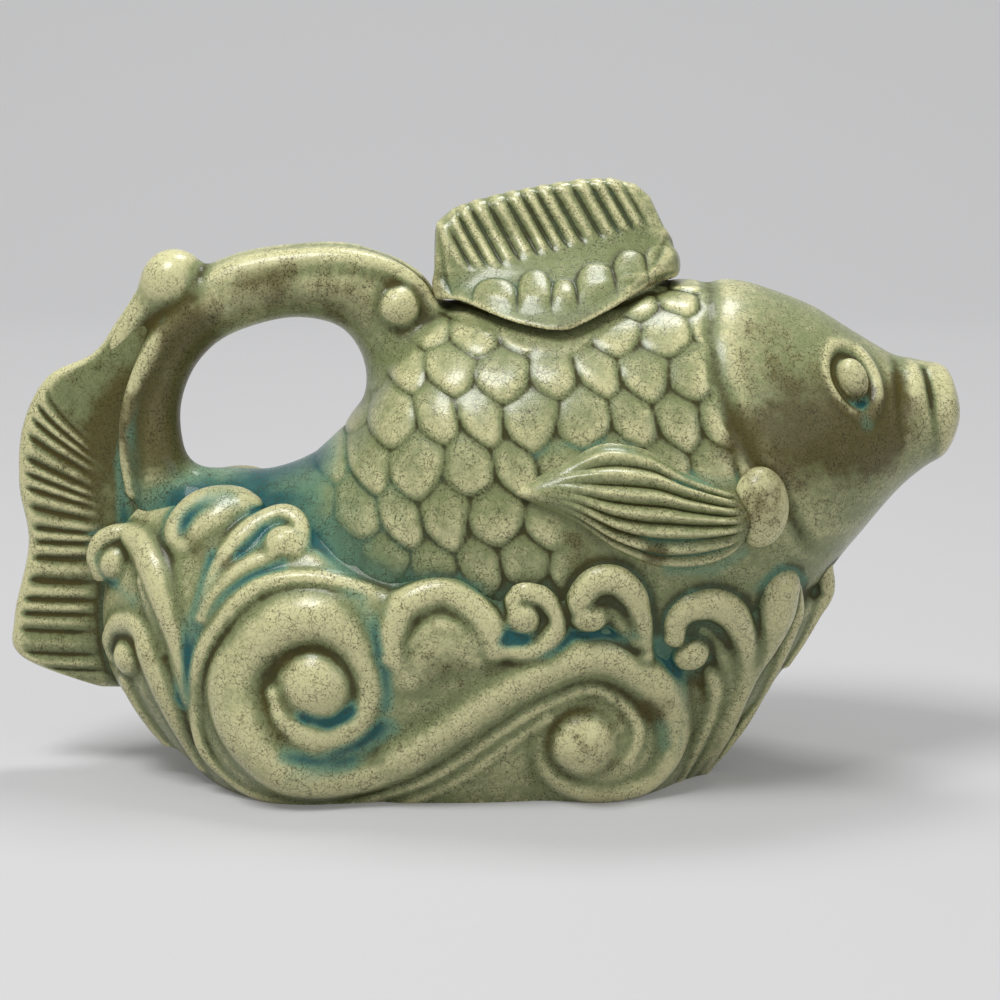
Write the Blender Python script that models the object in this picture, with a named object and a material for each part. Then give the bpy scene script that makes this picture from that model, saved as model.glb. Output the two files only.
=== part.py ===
"""Fish-shaped teapot of glazed stoneware: a carp that rises from waves, its tail looped into the handle.

The carp looks along +X, +Z is up and the foot stands on Z = 0. Pot and lid are each made of clay parts
that are formed alone and luted together, and every such part is its own solid.
"""

import math

import bmesh
import bpy
import numpy as np
from mathutils import Matrix, Vector

MM = 0.001

# Clay walls, and the clearances between parts
WALL = 5.0 * MM
FLOOR = 6.0 * MM
LUTE_GAP = 0.3 * MM
LID_FIT = 0.6 * MM

# The carp, from the root of the tail to the lips: x, belly, back, half width
FISH_STATIONS = MM * np.array((
    (-80, 51, 73, 8),
    (-66, 44, 76, 15),
    (-52, 36, 76, 22),
    (-40, 28, 81, 29),
    (-30, 22, 92, 34.5),
    (-20, 17, 108, 38.5),
    (-8, 13, 117, 41),
    (10, 10, 120.5, 43),
    (30, 10, 122.3, 43.5),
    (50, 14, 123, 41.5),
    (65, 24, 122, 38),
    (80, 42, 117.5, 31.5),
    (92, 57.5, 110.5, 25),
    (103, 70.5, 104.2, 18),
    (110, 76.5, 103, 14.5),
    (115, 79.5, 101.8, 13),
    (118, 83, 98.5, 10.5),
))
FISH_RINGS = 25
FISH_SIDES = 32
HOLLOW_SIDES = 16
HOLLOW_START = -48 * MM
HOLLOW_END = 104 * MM
SPOUT_RADIUS = 5.5 * MM
SPOUT_INNER = Vector((95, 0, 86)) * MM
SPOUT_OUTER = Vector((126, 0, 92.5)) * MM

# The wave bowl, from below the foot up: z, middle x, half length, half width
BOWL_STATIONS = MM * np.array((
    (-6, -7, 55, 30),
    (0, -7.5, 62.5, 33),
    (12, -9, 74, 38),
    (25, -8.5, 83.5, 41),
    (38, -5.5, 88.5, 42.5),
    (48, -3.5, 89.5, 42.5),
    (56, -7, 84, 38),
    (64, -16, 71, 30),
    (70, -27, 54, 20),
))
BOWL_RINGS = 13
BOWL_SIDES = 28
BOWL_HOLLOW_TOP = 50 * MM

# Two swellings of the bowl, under the large scrolls: centre, radii
BOWL_SWELLS = (
    (Vector((-41, 0, 20)) * MM, Vector((33, 42, 34)) * MM),
    (Vector((27, 0, 16)) * MM, Vector((27, 38, 30)) * MM),
)
SWELL_SEGMENTS = 14
SWELL_RINGS = 9

# Clay strokes of the waves seen from the side, in millimetres: the height of each as a share of its half
# width, and x, z, half width along it
WAVES = (
    # The long wave, from the large left eye down and up to the right eye
    (0.55, ((-48, 28.5, 1.4), (-45.5, 22.5, 2.2), (-38, 18.5, 2.7), (-29.5, 21.5, 3.2), (-25.5, 30.5, 3.7),
            (-28.5, 40, 4.5), (-35, 45.5, 5.9), (-43, 45, 6.6), (-50.5, 40, 6.9), (-55.5, 32, 7.6),
            (-55.5, 24.5, 7.6), (-52.5, 17.5, 7.1), (-46.5, 11, 6.2), (-31.5, 8.5, 5),
            (-23.5, 10.5, 5.2), (-4, 23, 5.2), (7.5, 31, 4.9),
            (23.5, 37.5, 5.1), (31, 37, 5.4), (38, 32.5, 5.4), (43.5, 25, 5.2), (45, 17.5, 5.1),
            (44, 11, 4.6), (40.5, 6, 3.8), (28, 3.5, 2.9), (21.5, 5.5, 2.6), (16.5, 10, 2.4),
            (14.5, 17, 2.1), (17, 23.5, 1.9), (23, 26.5, 1.6), (29.5, 24.5, 1.4), (32.5, 19.5, 1.1))),
    # The thin rim outside its left turn
    (0.95, ((-26, 53, 1), (-38, 55.5, 1.5), (-49.5, 54, 1.8), (-57.5, 48.5, 1.9), (-65, 38, 1.9),
            (-67.5, 27.5, 1.8), (-67, 12.5, 1.8), (-59, 4.5, 1.6), (-50.5, 1.5, 1.4))),
    # Scrolls and stems on the left
    (0.75, ((-94, 51, 1.8), (-95, 55, 2.1), (-93.5, 59, 2.3), (-90, 61, 2.4), (-85.5, 60.5, 3),
            (-81, 58.5, 4), (-78, 54.5, 4.5), (-75.5, 49, 4.1), (-73.5, 43, 3.2), (-72, 36.5, 2.2),
            (-71, 29, 1.2), (-70.5, 24, 0.7))),
    (0.75, ((-91, 31.5, 1.8), (-91.5, 35, 2.1), (-88.5, 39.5, 2.4), (-84, 41, 2.8), (-80.5, 39, 3.6),
            (-79, 34.5, 3.9), (-77, 29, 3.8), (-74.5, 22, 3.4), (-71.5, 14, 2.8), (-68, 6, 2.4))),
    (0.8, ((-86.5, 25.5, 2.4), (-83.5, 19.5, 2.6), (-80, 13, 2.4), (-78, 9.5, 2.2))),
    (0.75, ((-71.5, 59, 1.6), (-73, 62.5, 2.8), (-71.5, 65.5, 3.8), (-68, 68, 4.6), (-63.5, 69, 5),
            (-59, 69.5, 4.4), (-55.5, 69.5, 2.8))),
    (0.8, ((-66, 45, 0.9), (-64.5, 49.5, 1.4), (-62.5, 54.5, 2), (-60, 59, 2.3), (-56, 63.5, 2.7),
           (-51.5, 66.5, 2.9), (-46.5, 68, 2.9), (-43, 66, 2.7), (-42.5, 63, 2.5), (-43.5, 61, 2.2))),
    # Small waves along the top
    (0.7, ((-20, 38.5, 3.2), (-19.5, 44.5, 3.6), (-17, 49.5, 4), (-12, 52, 4.2), (-7, 52.5, 4.2),
           (-2, 50, 4), (2, 45.5, 3.6), (3.5, 40.5, 2.8))),
    (0.32, ((-16, 35.5, 5.1), (-10, 41, 6.8), (-2.5, 41.5, 5.7))),
    (0.8, ((4, 40.5, 1.6), (10, 39.5, 2.1), (14.5, 40.5, 2.3), (17.5, 44, 2.6), (18, 48, 2.7),
           (15, 52, 2.9), (11, 53.5, 2.9), (8.5, 51.5, 2.5))),
    (0.72, ((39, 38, 2.1), (38.5, 43.5, 2.5), (37.5, 48, 2.9), (35.5, 53, 3.6), (31.5, 56.5, 4),
            (27, 56, 4), (24, 52, 3.7), (24, 48, 3.1))),
    # Scrolls and stems on the right
    (0.7, ((46, 42, 2.5), (46.5, 46.5, 3.2), (49.5, 49.5, 3.8), (55, 50, 4.3), (59.5, 46.5, 4.3),
           (62.5, 39.5, 4.2), (63, 31.5, 4.1), (61.5, 23.5, 4), (59, 14, 3.8), (55.5, 5, 3.2),
           (51, -2.5, 2.5))),
    (0.65, ((71.5, 52, 4.7), (70, 45.5, 5.2), (68, 38, 4.3), (65, 30, 2.9), (61, 20.5, 1.8))),
    (0.8, ((84.5, 53.5, 2.3), (85, 47, 2.8), (82.5, 41.5, 2.5), (80, 34, 1.6))),
)
# Round eyes of the scrolls: x, z, radius, height as a share of it
WAVE_EYES = (
    (-38, 30.5, 8.9, 0.62), (24.5, 16.5, 8, 0.62), (-89, 54, 4.8, 0.75), (-85.5, 32, 4.2, 0.75),
    (-46.5, 62, 4.2, 0.75), (10.5, 48, 3.9, 0.8), (26.5, 48, 3.8, 0.8), (50, 37.5, 4.6, 0.8),
)
WAVE_LEAST_Y = 9 * MM

# The main scales of the flank, in rows: z, x of the first one, how many
SCALE_ROWS = ((105, -12, 4), (95, -20, 5), (84, -27, 2), (73, -29, 2), (63, -21, 2))
SCALE_PITCH = 16.0
SCALE_HALF_LENGTH = 6.8 * MM
SCALE_HALF_WIDTH = 4.8 * MM
SCALE_HEIGHT = 1.4 * MM
SCALE_SINK = 0.8 * MM
SCALE_FLAT_SHARE = 0.55
SCALE_SIDES = 6

# The groove behind the gill plate: x, z
GILL_LINE = MM * np.array((
    (55.5, 119), (54.5, 112), (56, 102), (59.5, 92), (64, 84), (69, 78), (72.5, 72), (76, 66),
))
GILL_RADIUS = 1.9 * MM
GILL_DEPTH = 1.1 * MM

# The handle loop: x, z, radius
HANDLE_STATIONS = MM * np.array((
    (-15.5, 102, 11),
    (-22.8, 115.2, 10.8),
    (-32, 121.6, 10.2),
    (-45, 122.8, 9),
    (-58, 120.5, 9),
    (-69, 115, 8.5),
    (-76.5, 106, 7.5),
    (-80.5, 95, 6.8),
    (-81, 84, 6.8),
    (-79, 72, 8),
    (-74, 60, 10),
))
HANDLE_RINGS = 21
HANDLE_KNUCKLE = Vector((-75, 0, 122.5)) * MM
HANDLE_KNUCKLE_RADIUS = 8 * MM
HANDLE_CURL = Vector((-19.5, 8, 118.5)) * MM
HANDLE_CURL_RADIUS = 5 * MM

# The tail fin between the edge under the handle and its free edge: x, z
TAIL_ROOT_EDGE = MM * np.array((
    (-75, 120), (-79, 108), (-82, 96), (-83, 84), (-83, 72), (-84, 58), (-86, 46), (-87, 34), (-86, 20),
))
TAIL_FREE_EDGE = MM * np.array((
    (-83.5, 127), (-95.5, 105.5), (-107, 99), (-113.5, 87), (-115, 72), (-113.2, 57), (-117.5, 38),
    (-116, 28), (-96, 20),
))
TAIL_RIBS = 14
TAIL_ROOT_THICKNESS = 10 * MM
TAIL_EDGE_THICKNESS = 5 * MM
TAIL_RIB_HEIGHT = 0.9 * MM

# The side fins, laid on the flank: x, z of both edges from root to tip
SIDE_FIN_UPPER_EDGE = MM * np.array((
    (61, 77.5), (56, 78.5), (47.5, 82), (38.5, 87), (29.5, 88.5), (21.5, 85), (8.5, 78),
))
SIDE_FIN_LOWER_EDGE = MM * np.array((
    (61, 64.5), (58.5, 61), (52, 58.5), (43, 58.5), (33, 62.5), (22, 70), (8.5, 76.5),
))
SIDE_FIN_RIBS = 7
SIDE_FIN_STEPS = 8
SIDE_FIN_HEIGHT = 3.2 * MM
SIDE_FIN_EDGE = 1.2 * MM
SIDE_FIN_RIB_HEIGHT = 0.8 * MM
SIDE_FIN_ROOT = (65.5 * MM, 73 * MM)
SIDE_FIN_ROOT_RADII = Vector((6, 6, 9.5)) * MM

EYE_PLACE = (89 * MM, 101 * MM)
EYE_RADII = Vector((4.2, 3.2, 5.4)) * MM

# Lid mouth and its raised lip
MOUTH_X = 20 * MM
MOUTH_HALF_LENGTH = 22 * MM
MOUTH_HALF_WIDTH = 16 * MM
LIP_WIDTH = 3.5 * MM
LIP_HEIGHT = 1.5 * MM
LID_SEAT_GAP = 0.3 * MM
MOUTH_SIDES = 32

# Lid
FLANGE_WALL = 3 * MM
FLANGE_BOTTOM = 104 * MM
CAP_X = 19.8 * MM
CAP_HALF_LENGTH = 30.8 * MM
CAP_HALF_WIDTH = 26.5 * MM
CAP_RIM = 2.5 * MM
CAP_CREST_HALF_WIDTH = 7.4 * MM
CAP_TOP = 130 * MM
CAP_ROOF = 4 * MM
CAP_HOLLOW_HEIGHT = 6 * MM
CAP_RINGS = 6

# The dorsal fin: x of the ends of its base, and x and height over the cap's top of its free edge
DORSAL_BASE_ENDS = (-10.8 * MM, 49 * MM)
DORSAL_FREE_EDGE = MM * np.array((
    (-11.6, 2), (-10.6, 6.5), (-7, 10), (-1.5, 12.2), (4.5, 13.8), (10.5, 15), (16.5, 16),
    (22.5, 17), (29, 17.8), (38.5, 16.8), (48.2, 2),
))
DORSAL_RIBS = 15
DORSAL_ROOT_THICKNESS = 12 * MM
DORSAL_EDGE_THICKNESS = 6 * MM
DORSAL_RIB_HEIGHT = 0.8 * MM
DORSAL_END_TAPER = 0.5

RIB_STEPS = 3
PLATE_STEPS = 4
TAPER_POWER = 6

# Fineness: bevel steps of rolls, segments and rings of beads, and where shading turns sharp
STROKE_STEP_RADII = (3 * MM, 6 * MM)
GILL_BEVEL_STEPS = 0
HANDLE_BEVEL_STEPS = 3
SPOUT_BEVEL_STEPS = 6
BEAD_SEGMENTS = 8
BEAD_RINGS = 5
MERGE_DISTANCE = 0.01 * MM
GROUND_REACH = 1.0
SHARP_ANGLE = math.radians(30)

# Glaze: colour, roughness
GLAZES = {
    "fish_glaze": ((0.33, 0.36, 0.22, 1), 0.32),
    "wave_glaze": ((0.45, 0.44, 0.27, 1), 0.3),
    "fin_glaze": ((0.31, 0.31, 0.17, 1), 0.35),
    "lid_glaze": ((0.30, 0.34, 0.25, 1), 0.32),
}


def smooth_curve(points, samples):
    """Points on a Catmull-Rom curve through the given ones."""
    points = np.asarray(points, dtype=float)
    knots = np.vstack([2 * points[0] - points[1], points, 2 * points[-1] - points[-2]])
    place = np.linspace(0, len(points) - 1, samples)
    span = np.minimum(place.astype(int), len(points) - 2)
    t = (place - span)[:, None]
    a, b, c, d = (knots[span + step] for step in range(4))
    return (2 * b + (c - a) * t + (2 * a - 5 * b + 4 * c - d) * t**2 + (3 * b - a - 3 * c + d) * t**3) / 2


def make_object(name, shape):
    """Object at the origin from a bmesh, with its faces turned outwards."""
    bmesh.ops.recalc_face_normals(shape, faces=shape.faces)
    mesh = bpy.data.meshes.new(name)
    shape.to_mesh(mesh)
    shape.free()
    solid = bpy.data.objects.new(name, mesh)
    bpy.context.scene.collection.objects.link(solid)
    return solid


def loft(name, rings):
    """Closed solid through rings of as many points each, with a flat cap on both ends."""
    shape = bmesh.new()
    rows = [[shape.verts.new(point) for point in ring] for ring in rings]
    for low, high in zip(rows, rows[1:]):
        for here in range(len(low)):
            shape.faces.new((low[here - 1], low[here], high[here], high[here - 1]))
    shape.faces.new(rows[0])
    shape.faces.new(rows[-1])
    return make_object(name, shape)


def boolean(solid, tool, operation, solver="EXACT"):
    """Apply one Boolean to the solid and remove the tool."""
    modifier = solid.modifiers.new(operation, "BOOLEAN")
    modifier.operation = operation
    modifier.solver = solver
    modifier.object = tool
    depsgraph = bpy.context.evaluated_depsgraph_get()
    mesh = bpy.data.meshes.new_from_object(solid.evaluated_get(depsgraph))
    solid.modifiers.clear()
    solid.data = mesh
    bpy.data.objects.remove(tool)


def unite(solid, *tools, solver="EXACT"):
    for tool in tools:
        boolean(solid, tool, "UNION", solver)
    return solid


def cut(solid, *tools, solver="EXACT"):
    for tool in tools:
        boolean(solid, tool, "DIFFERENCE", solver)
    return solid


def ellipsoid(name, centre, radii, segments=12, rings=8):
    shape = bmesh.new()
    bmesh.ops.create_uvsphere(shape, u_segments=segments, v_segments=rings, radius=1)
    bmesh.ops.scale(shape, vec=radii, verts=shape.verts)
    bmesh.ops.translate(shape, vec=centre, verts=shape.verts)
    return make_object(name, shape)


def oval_post(name, half_length, half_width, bottom, top):
    """Upright oval cylinder on the lid's axis."""
    shape = bmesh.new()
    bmesh.ops.create_cone(
        shape, cap_ends=True, segments=MOUTH_SIDES, radius1=1, radius2=1, depth=top - bottom)
    bmesh.ops.scale(shape, vec=(half_length, half_width, 1), verts=shape.verts)
    bmesh.ops.translate(shape, vec=(MOUTH_X, 0, (bottom + top) / 2), verts=shape.verts)
    return make_object(name, shape)


def clay_roll(name, points, radii, resolution):
    """Round roll of clay along the points, closed at both ends."""
    curve = bpy.data.curves.new(name, "CURVE")
    curve.dimensions = "3D"
    curve.bevel_depth = 1
    curve.bevel_resolution = resolution
    curve.use_fill_caps = True
    spline = curve.splines.new("POLY")
    spline.points.add(len(points) - 1)
    for knot, point, radius in zip(spline.points, points, radii):
        knot.co = (*point, 1)
        knot.radius = radius
    guide = bpy.data.objects.new(name, curve)
    bpy.context.scene.collection.objects.link(guide)
    depsgraph = bpy.context.evaluated_depsgraph_get()
    mesh = bpy.data.meshes.new_from_object(guide.evaluated_get(depsgraph))
    bpy.data.objects.remove(guide)
    shape = bmesh.new()
    shape.from_mesh(mesh)
    bmesh.ops.remove_doubles(shape, verts=shape.verts, dist=MERGE_DISTANCE)
    return make_object(name, shape)


def block(name, low, high):
    shape = bmesh.new()
    bmesh.ops.create_cube(shape, size=1)
    bmesh.ops.scale(shape, vec=high - low, verts=shape.verts)
    bmesh.ops.translate(shape, vec=(low + high) / 2, verts=shape.verts)
    return make_object(name, shape)


FISH_ROWS = smooth_curve(FISH_STATIONS, FISH_RINGS)
BOWL_ROWS = smooth_curve(BOWL_STATIONS, BOWL_RINGS)


def fish_solid(name, grow=0.0, rows=FISH_ROWS, sides=FISH_SIDES):
    """The carp's outer form, or the same form a constant distance larger or smaller."""
    around = np.linspace(0, 2 * math.pi, sides, endpoint=False)
    rings = []
    for x, belly, back, half_width in rows:
        half_height = (back - belly) / 2 + grow
        middle = (back + belly) / 2
        sideways = (half_width + grow) * np.sin(around)
        upward = middle + half_height * np.cos(around)
        rings.append([(x, y, z) for y, z in zip(sideways, upward)])
    if grow > 0:
        rings[0] = [(x - grow, y, z) for x, y, z in rings[0]]
        rings[-1] = [(x + grow, y, z) for x, y, z in rings[-1]]
    return loft(name, rings)


def fish_hollow():
    inside = (FISH_ROWS[:, 0] > HOLLOW_START) & (FISH_ROWS[:, 0] < HOLLOW_END)
    return fish_solid("fish_hollow", -WALL, FISH_ROWS[inside], HOLLOW_SIDES)


def oval_rings(rows, sides, grow=0.0):
    around = np.linspace(0, 2 * math.pi, sides, endpoint=False)
    return [
        [(x + (a + grow) * math.cos(t), (b + grow) * math.sin(t), z) for t in around]
        for z, x, a, b in rows
    ]


def bowl_solid(name, grow=0.0):
    rings = oval_rings(BOWL_ROWS, BOWL_SIDES, grow)
    rings[-1] = [(x, y, z + grow) for x, y, z in rings[-1]]
    return loft(name, rings)


def bowl_hollow():
    heights = np.linspace(FLOOR, BOWL_HOLLOW_TOP, BOWL_RINGS // 2)
    rows = np.column_stack([np.interp(heights, BOWL_ROWS[:, 0], column) for column in BOWL_ROWS.T])
    return loft("bowl_hollow", oval_rings(rows, HOLLOW_SIDES, -WALL))


def half_width_at(x, z):
    """How far the pot's skin stands from the middle plane, seen from the side at x, z."""
    belly, back, fish_width = (np.interp(x, FISH_ROWS[:, 0], FISH_ROWS[:, column]) for column in (1, 2, 3))
    lift = (2 * z - belly - back) / (back - belly)
    fish = fish_width * math.sqrt(max(0.0, 1 - lift**2))
    middle, length, width = (np.interp(z, BOWL_ROWS[:, 0], BOWL_ROWS[:, column]) for column in (1, 2, 3))
    bowl = width * math.sqrt(max(0.0, 1 - ((x - middle) / length)**2))
    swells = []
    for centre, radii in BOWL_SWELLS:
        off = ((x - centre.x) / radii.x)**2 + ((z - centre.z) / radii.z)**2
        swells.append(radii.y * math.sqrt(max(0.0, 1 - off)))
    return max(fish, bowl, *swells)


def stroke_axis(stations, rise, side):
    """Points and radii of a roll whose cap stands out of one flank by a share of its half width."""
    points, radii = [], []
    for x, z, half in stations:
        radius = half * (1 + rise**2) / (2 * rise)
        out = max(half_width_at(x, z) - radius + rise * half, WAVE_LEAST_Y)
        points.append((x, side * out, z))
        radii.append(radius)
    return points, radii


def wave_relief(side):
    """Strokes and eyes of the waves on one flank, clear of the carp. Rolls that cross need this solver."""
    pieces = []
    for rise, stations in WAVES:
        points, radii = stroke_axis(MM * np.array(stations), rise, side)
        steps = np.searchsorted(STROKE_STEP_RADII, max(radii))
        pieces.append(clay_roll("stroke", points, radii, int(steps)))
    for x, z, radius, rise in WAVE_EYES:
        (centre,), (reach,) = stroke_axis(MM * np.array([(x, z, radius)]), rise, side)
        pieces.append(ellipsoid("eye_bead", centre, [reach] * 3, BEAD_SEGMENTS, BEAD_RINGS))
    relief = unite(*pieces, solver="MANIFOLD")
    return cut(relief, fish_solid("fish_cutter", LUTE_GAP), solver="MANIFOLD")


def wave_base():
    """Bowl with its swellings and the wave relief on both flanks, hollow and flat underneath."""
    base = bowl_solid("wave_base")
    for centre, radii in BOWL_SWELLS:
        unite(base, ellipsoid("swell", centre, radii, SWELL_SEGMENTS, SWELL_RINGS), solver="MANIFOLD")
    for side in (-1, 1):
        unite(base, wave_relief(side), solver="MANIFOLD")
    reach = GROUND_REACH
    ground = block("ground", Vector((-reach, -reach, -reach)), Vector((reach, reach, 0)))
    return cut(base, bowl_hollow(), fish_hollow(), ground, solver="MANIFOLD")


def scale(x, z, side):
    """Low shield on one flank, turned to the skin there."""
    skin = half_width_at(x, z)
    lean_x, lean_z = half_width_at(x + MM, z) - skin, half_width_at(x, z + MM) - skin
    outward = Vector((-lean_x, side * MM, -lean_z)).normalized()
    along = (Vector((1, 0, 0)) - outward * outward.x).normalized()
    across = outward.cross(along)
    centre = Vector((x, side * skin, z))
    rings = []
    for share, lift in ((1, -SCALE_SINK), (SCALE_FLAT_SHARE, SCALE_HEIGHT)):
        rings.append([
            centre + outward * lift + along * (share * SCALE_HALF_LENGTH * math.cos(turn))
            + across * (share * SCALE_HALF_WIDTH * math.sin(turn))
            for turn in np.linspace(0, 2 * math.pi, SCALE_SIDES, endpoint=False)
        ])
    return loft("scale", rings)


def gill_groove(side):
    lift = GILL_RADIUS - GILL_DEPTH
    points = [(x, side * (half_width_at(x, z) + lift), z) for x, z in GILL_LINE]
    return clay_roll("gill_groove", points, [GILL_RADIUS] * len(points), GILL_BEVEL_STEPS)


def fish_body():
    """Shell of the carp with its main scales, open at the mouth, at the lid and over the bowl."""
    body = fish_solid("fish_body")
    for side in (-1, 1):
        for z, first, count in SCALE_ROWS:
            row = [scale(MM * (first + SCALE_PITCH * step), MM * z, side) for step in range(count)]
            unite(body, *row, solver="MANIFOLD")
        cut(body, gill_groove(side), solver="MANIFOLD")
    lip = fish_solid("lip", LIP_HEIGHT)
    outer = [half + LIP_WIDTH for half in (MOUTH_HALF_LENGTH, MOUTH_HALF_WIDTH)]
    boolean(lip, oval_post("lip_post", *outer, FLANGE_BOTTOM, CAP_TOP), "INTERSECT")
    unite(body, lip)
    mouth = oval_post("mouth", MOUTH_HALF_LENGTH, MOUTH_HALF_WIDTH, FLANGE_BOTTOM - WALL, CAP_TOP)
    spout = clay_roll("spout", [SPOUT_INNER, SPOUT_OUTER], [SPOUT_RADIUS] * 2, SPOUT_BEVEL_STEPS)
    return cut(body, bowl_solid("bowl_cutter", LUTE_GAP), bowl_hollow(), fish_hollow(), mouth, spout)


def handle_solid(name, grow=0.0):
    stations = smooth_curve(HANDLE_STATIONS, HANDLE_RINGS)
    points = [(x, 0, z) for x, z, radius in stations]
    solid = clay_roll(name, points, stations[:, 2] + grow, HANDLE_BEVEL_STEPS)
    unite(solid, ellipsoid("knuckle", HANDLE_KNUCKLE, [HANDLE_KNUCKLE_RADIUS + grow] * 3))
    for side in (-1, 1):
        centre = (HANDLE_CURL.x, side * HANDLE_CURL.y, HANDLE_CURL.z)
        unite(solid, ellipsoid("curl", centre, [HANDLE_CURL_RADIUS + grow] * 3))
    return solid


def clear_of_pot(solid):
    """Trim what would run into the carp or the bowl."""
    return cut(solid, bowl_solid("bowl_cutter", LUTE_GAP), fish_solid("fish_cutter", LUTE_GAP))


def ribbed_plate(name, root_edge, free_edge, ribs, root_thickness, edge_thickness, rib_height,
                 end_taper=0.0):
    """Upright plate in the middle plane, with ribs that run from its root to its free edge."""
    steps = ribs * RIB_STEPS + 1
    root = smooth_curve(root_edge, steps)
    free = smooth_curve(free_edge, steps)
    across = np.linspace(0, 1, PLATE_STEPS)
    rings = []
    for index in range(steps):
        crest = rib_height * (1 - math.cos(2 * math.pi * index / RIB_STEPS)) / 2
        taper = 1 - end_taper * abs(2 * index / (steps - 1) - 1)**TAPER_POWER
        side = []
        for share in across:
            x, z = root[index] + (free[index] - root[index]) * share
            half = (root_thickness + (edge_thickness - root_thickness) * share) / 2
            side.append((x, taper * half + crest * (1 - share**2), z))
        rings.append([(x, -y, z) for x, y, z in side] + side[::-1])
    return loft(name, rings)


def handle():
    return clear_of_pot(handle_solid("handle"))


def tail_fin():
    plate = ribbed_plate("tail_fin", TAIL_ROOT_EDGE, TAIL_FREE_EDGE, TAIL_RIBS, TAIL_ROOT_THICKNESS,
                         TAIL_EDGE_THICKNESS, TAIL_RIB_HEIGHT)
    return cut(clear_of_pot(plate), handle_solid("handle_cutter", LUTE_GAP))


def side_fin(name, side):
    """Fin laid on one flank, ribbed from root to tip, with its round root."""
    steps = SIDE_FIN_RIBS * RIB_STEPS + 1
    upper = smooth_curve(SIDE_FIN_UPPER_EDGE, SIDE_FIN_STEPS)
    lower = smooth_curve(SIDE_FIN_LOWER_EDGE, SIDE_FIN_STEPS)
    rings = []
    for index, share in enumerate(np.linspace(0, 1, steps)):
        crest = SIDE_FIN_RIB_HEIGHT * (1 - math.cos(2 * math.pi * index / RIB_STEPS)) / 2
        bulge = SIDE_FIN_EDGE + (SIDE_FIN_HEIGHT - SIDE_FIN_EDGE) * math.sin(math.pi * share)
        outer, inner = [], []
        for x, z in upper + (lower - upper) * share:
            skin = half_width_at(x, z)
            outer.append((x, side * (skin + bulge + crest), z))
            inner.append((x, side * (skin - WALL), z))
        rings.append(outer + inner[::-1])
    fin = loft(name, rings)
    x, z = SIDE_FIN_ROOT
    unite(fin, ellipsoid("fin_root", (x, side * half_width_at(x, z), z), SIDE_FIN_ROOT_RADII))
    return clear_of_pot(fin)


def eye(name, side):
    x, z = EYE_PLACE
    return clear_of_pot(ellipsoid(name, (x, side * half_width_at(x, z), z), EYE_RADII))


def back_at(x, y):
    """Height of the carp's back at x, y."""
    belly, back, half_width = (np.interp(x, FISH_ROWS[:, 0], FISH_ROWS[:, column]) for column in (1, 2, 3))
    return (belly + back) / 2 + (back - belly) / 2 * math.sqrt(1 - (y / half_width)**2)


def lid_cap():
    """Saddle-shaped cap: its rim follows the carp's back over the lip and sweeps up to a narrow crest."""
    seat = LIP_HEIGHT + LID_SEAT_GAP
    around = np.linspace(0, 2 * math.pi, MOUTH_SIDES, endpoint=False)
    rings = [[] for ring in range(CAP_RINGS + 1)]
    for angle in around:
        x = CAP_X + CAP_HALF_LENGTH * math.cos(angle)
        rim_y = CAP_HALF_WIDTH * math.sin(angle)
        crest_y = math.copysign(CAP_CREST_HALF_WIDTH * math.sqrt(abs(math.sin(angle))), rim_y)
        crest_rise = CAP_TOP - back_at(x, crest_y) - seat - CAP_RIM
        rings[0].append((x, rim_y, back_at(x, rim_y) - CAP_RIM))
        for ring, share in zip(rings[1:], np.linspace(0, 1, CAP_RINGS)):
            y = rim_y + (crest_y - rim_y) * share
            ring.append((x, y, back_at(x, y) + seat + CAP_RIM + crest_rise * share**2))
    cap = loft("lid_cap", rings)
    cut(cap, fish_solid("seat", seat))
    bore = [half - LID_FIT - FLANGE_WALL for half in (MOUTH_HALF_LENGTH, MOUTH_HALF_WIDTH)]
    centre = (MOUTH_X, 0, CAP_TOP - CAP_ROOF - CAP_HOLLOW_HEIGHT)
    return cut(cap, ellipsoid("cap_hollow", centre, (*bore, CAP_HOLLOW_HEIGHT)))


def lid_flange():
    """Oval collar under the cap that locates in the mouth."""
    outer = [half - LID_FIT for half in (MOUTH_HALF_LENGTH, MOUTH_HALF_WIDTH)]
    flange = oval_post("lid_flange", *outer, FLANGE_BOTTOM, CAP_TOP)
    boolean(flange, fish_solid("flange_top", LIP_HEIGHT + LID_SEAT_GAP - LUTE_GAP), "INTERSECT")
    bore = [half - FLANGE_WALL for half in outer]
    return cut(flange, oval_post("flange_bore", *bore, FLANGE_BOTTOM - WALL, CAP_TOP))


def dorsal_fin():
    base = np.array([(x, CAP_TOP + LUTE_GAP) for x in DORSAL_BASE_ENDS])
    free = DORSAL_FREE_EDGE + (0, CAP_TOP)
    return ribbed_plate("dorsal_fin", base, free, DORSAL_RIBS, DORSAL_ROOT_THICKNESS,
                        DORSAL_EDGE_THICKNESS, DORSAL_RIB_HEIGHT, DORSAL_END_TAPER)


def glaze(name):
    colour, roughness = GLAZES[name]
    material = bpy.data.materials.new(name)
    material.use_nodes = True
    shader = material.node_tree.nodes["Principled BSDF"]
    shader.inputs["Base Color"].default_value = colour
    shader.inputs["Roughness"].default_value = roughness
    shader.inputs["Metallic"].default_value = 0
    return material


def assemble(collection, name, place, parts):
    """Hang the parts on an empty at the place, each with its glaze."""
    anchor = bpy.data.objects.new(name, None)
    anchor.location = place
    collection.objects.link(anchor)
    for part, finish in parts:
        for owner in list(part.users_collection):
            owner.objects.unlink(part)
        collection.objects.link(part)
        part.data.transform(Matrix.Translation(-place))
        part.parent = anchor
        part.data.materials.clear()
        part.data.materials.append(finish)
        part.data.shade_smooth()
        part.data.set_sharp_from_angle(angle=SHARP_ANGLE)


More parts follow.
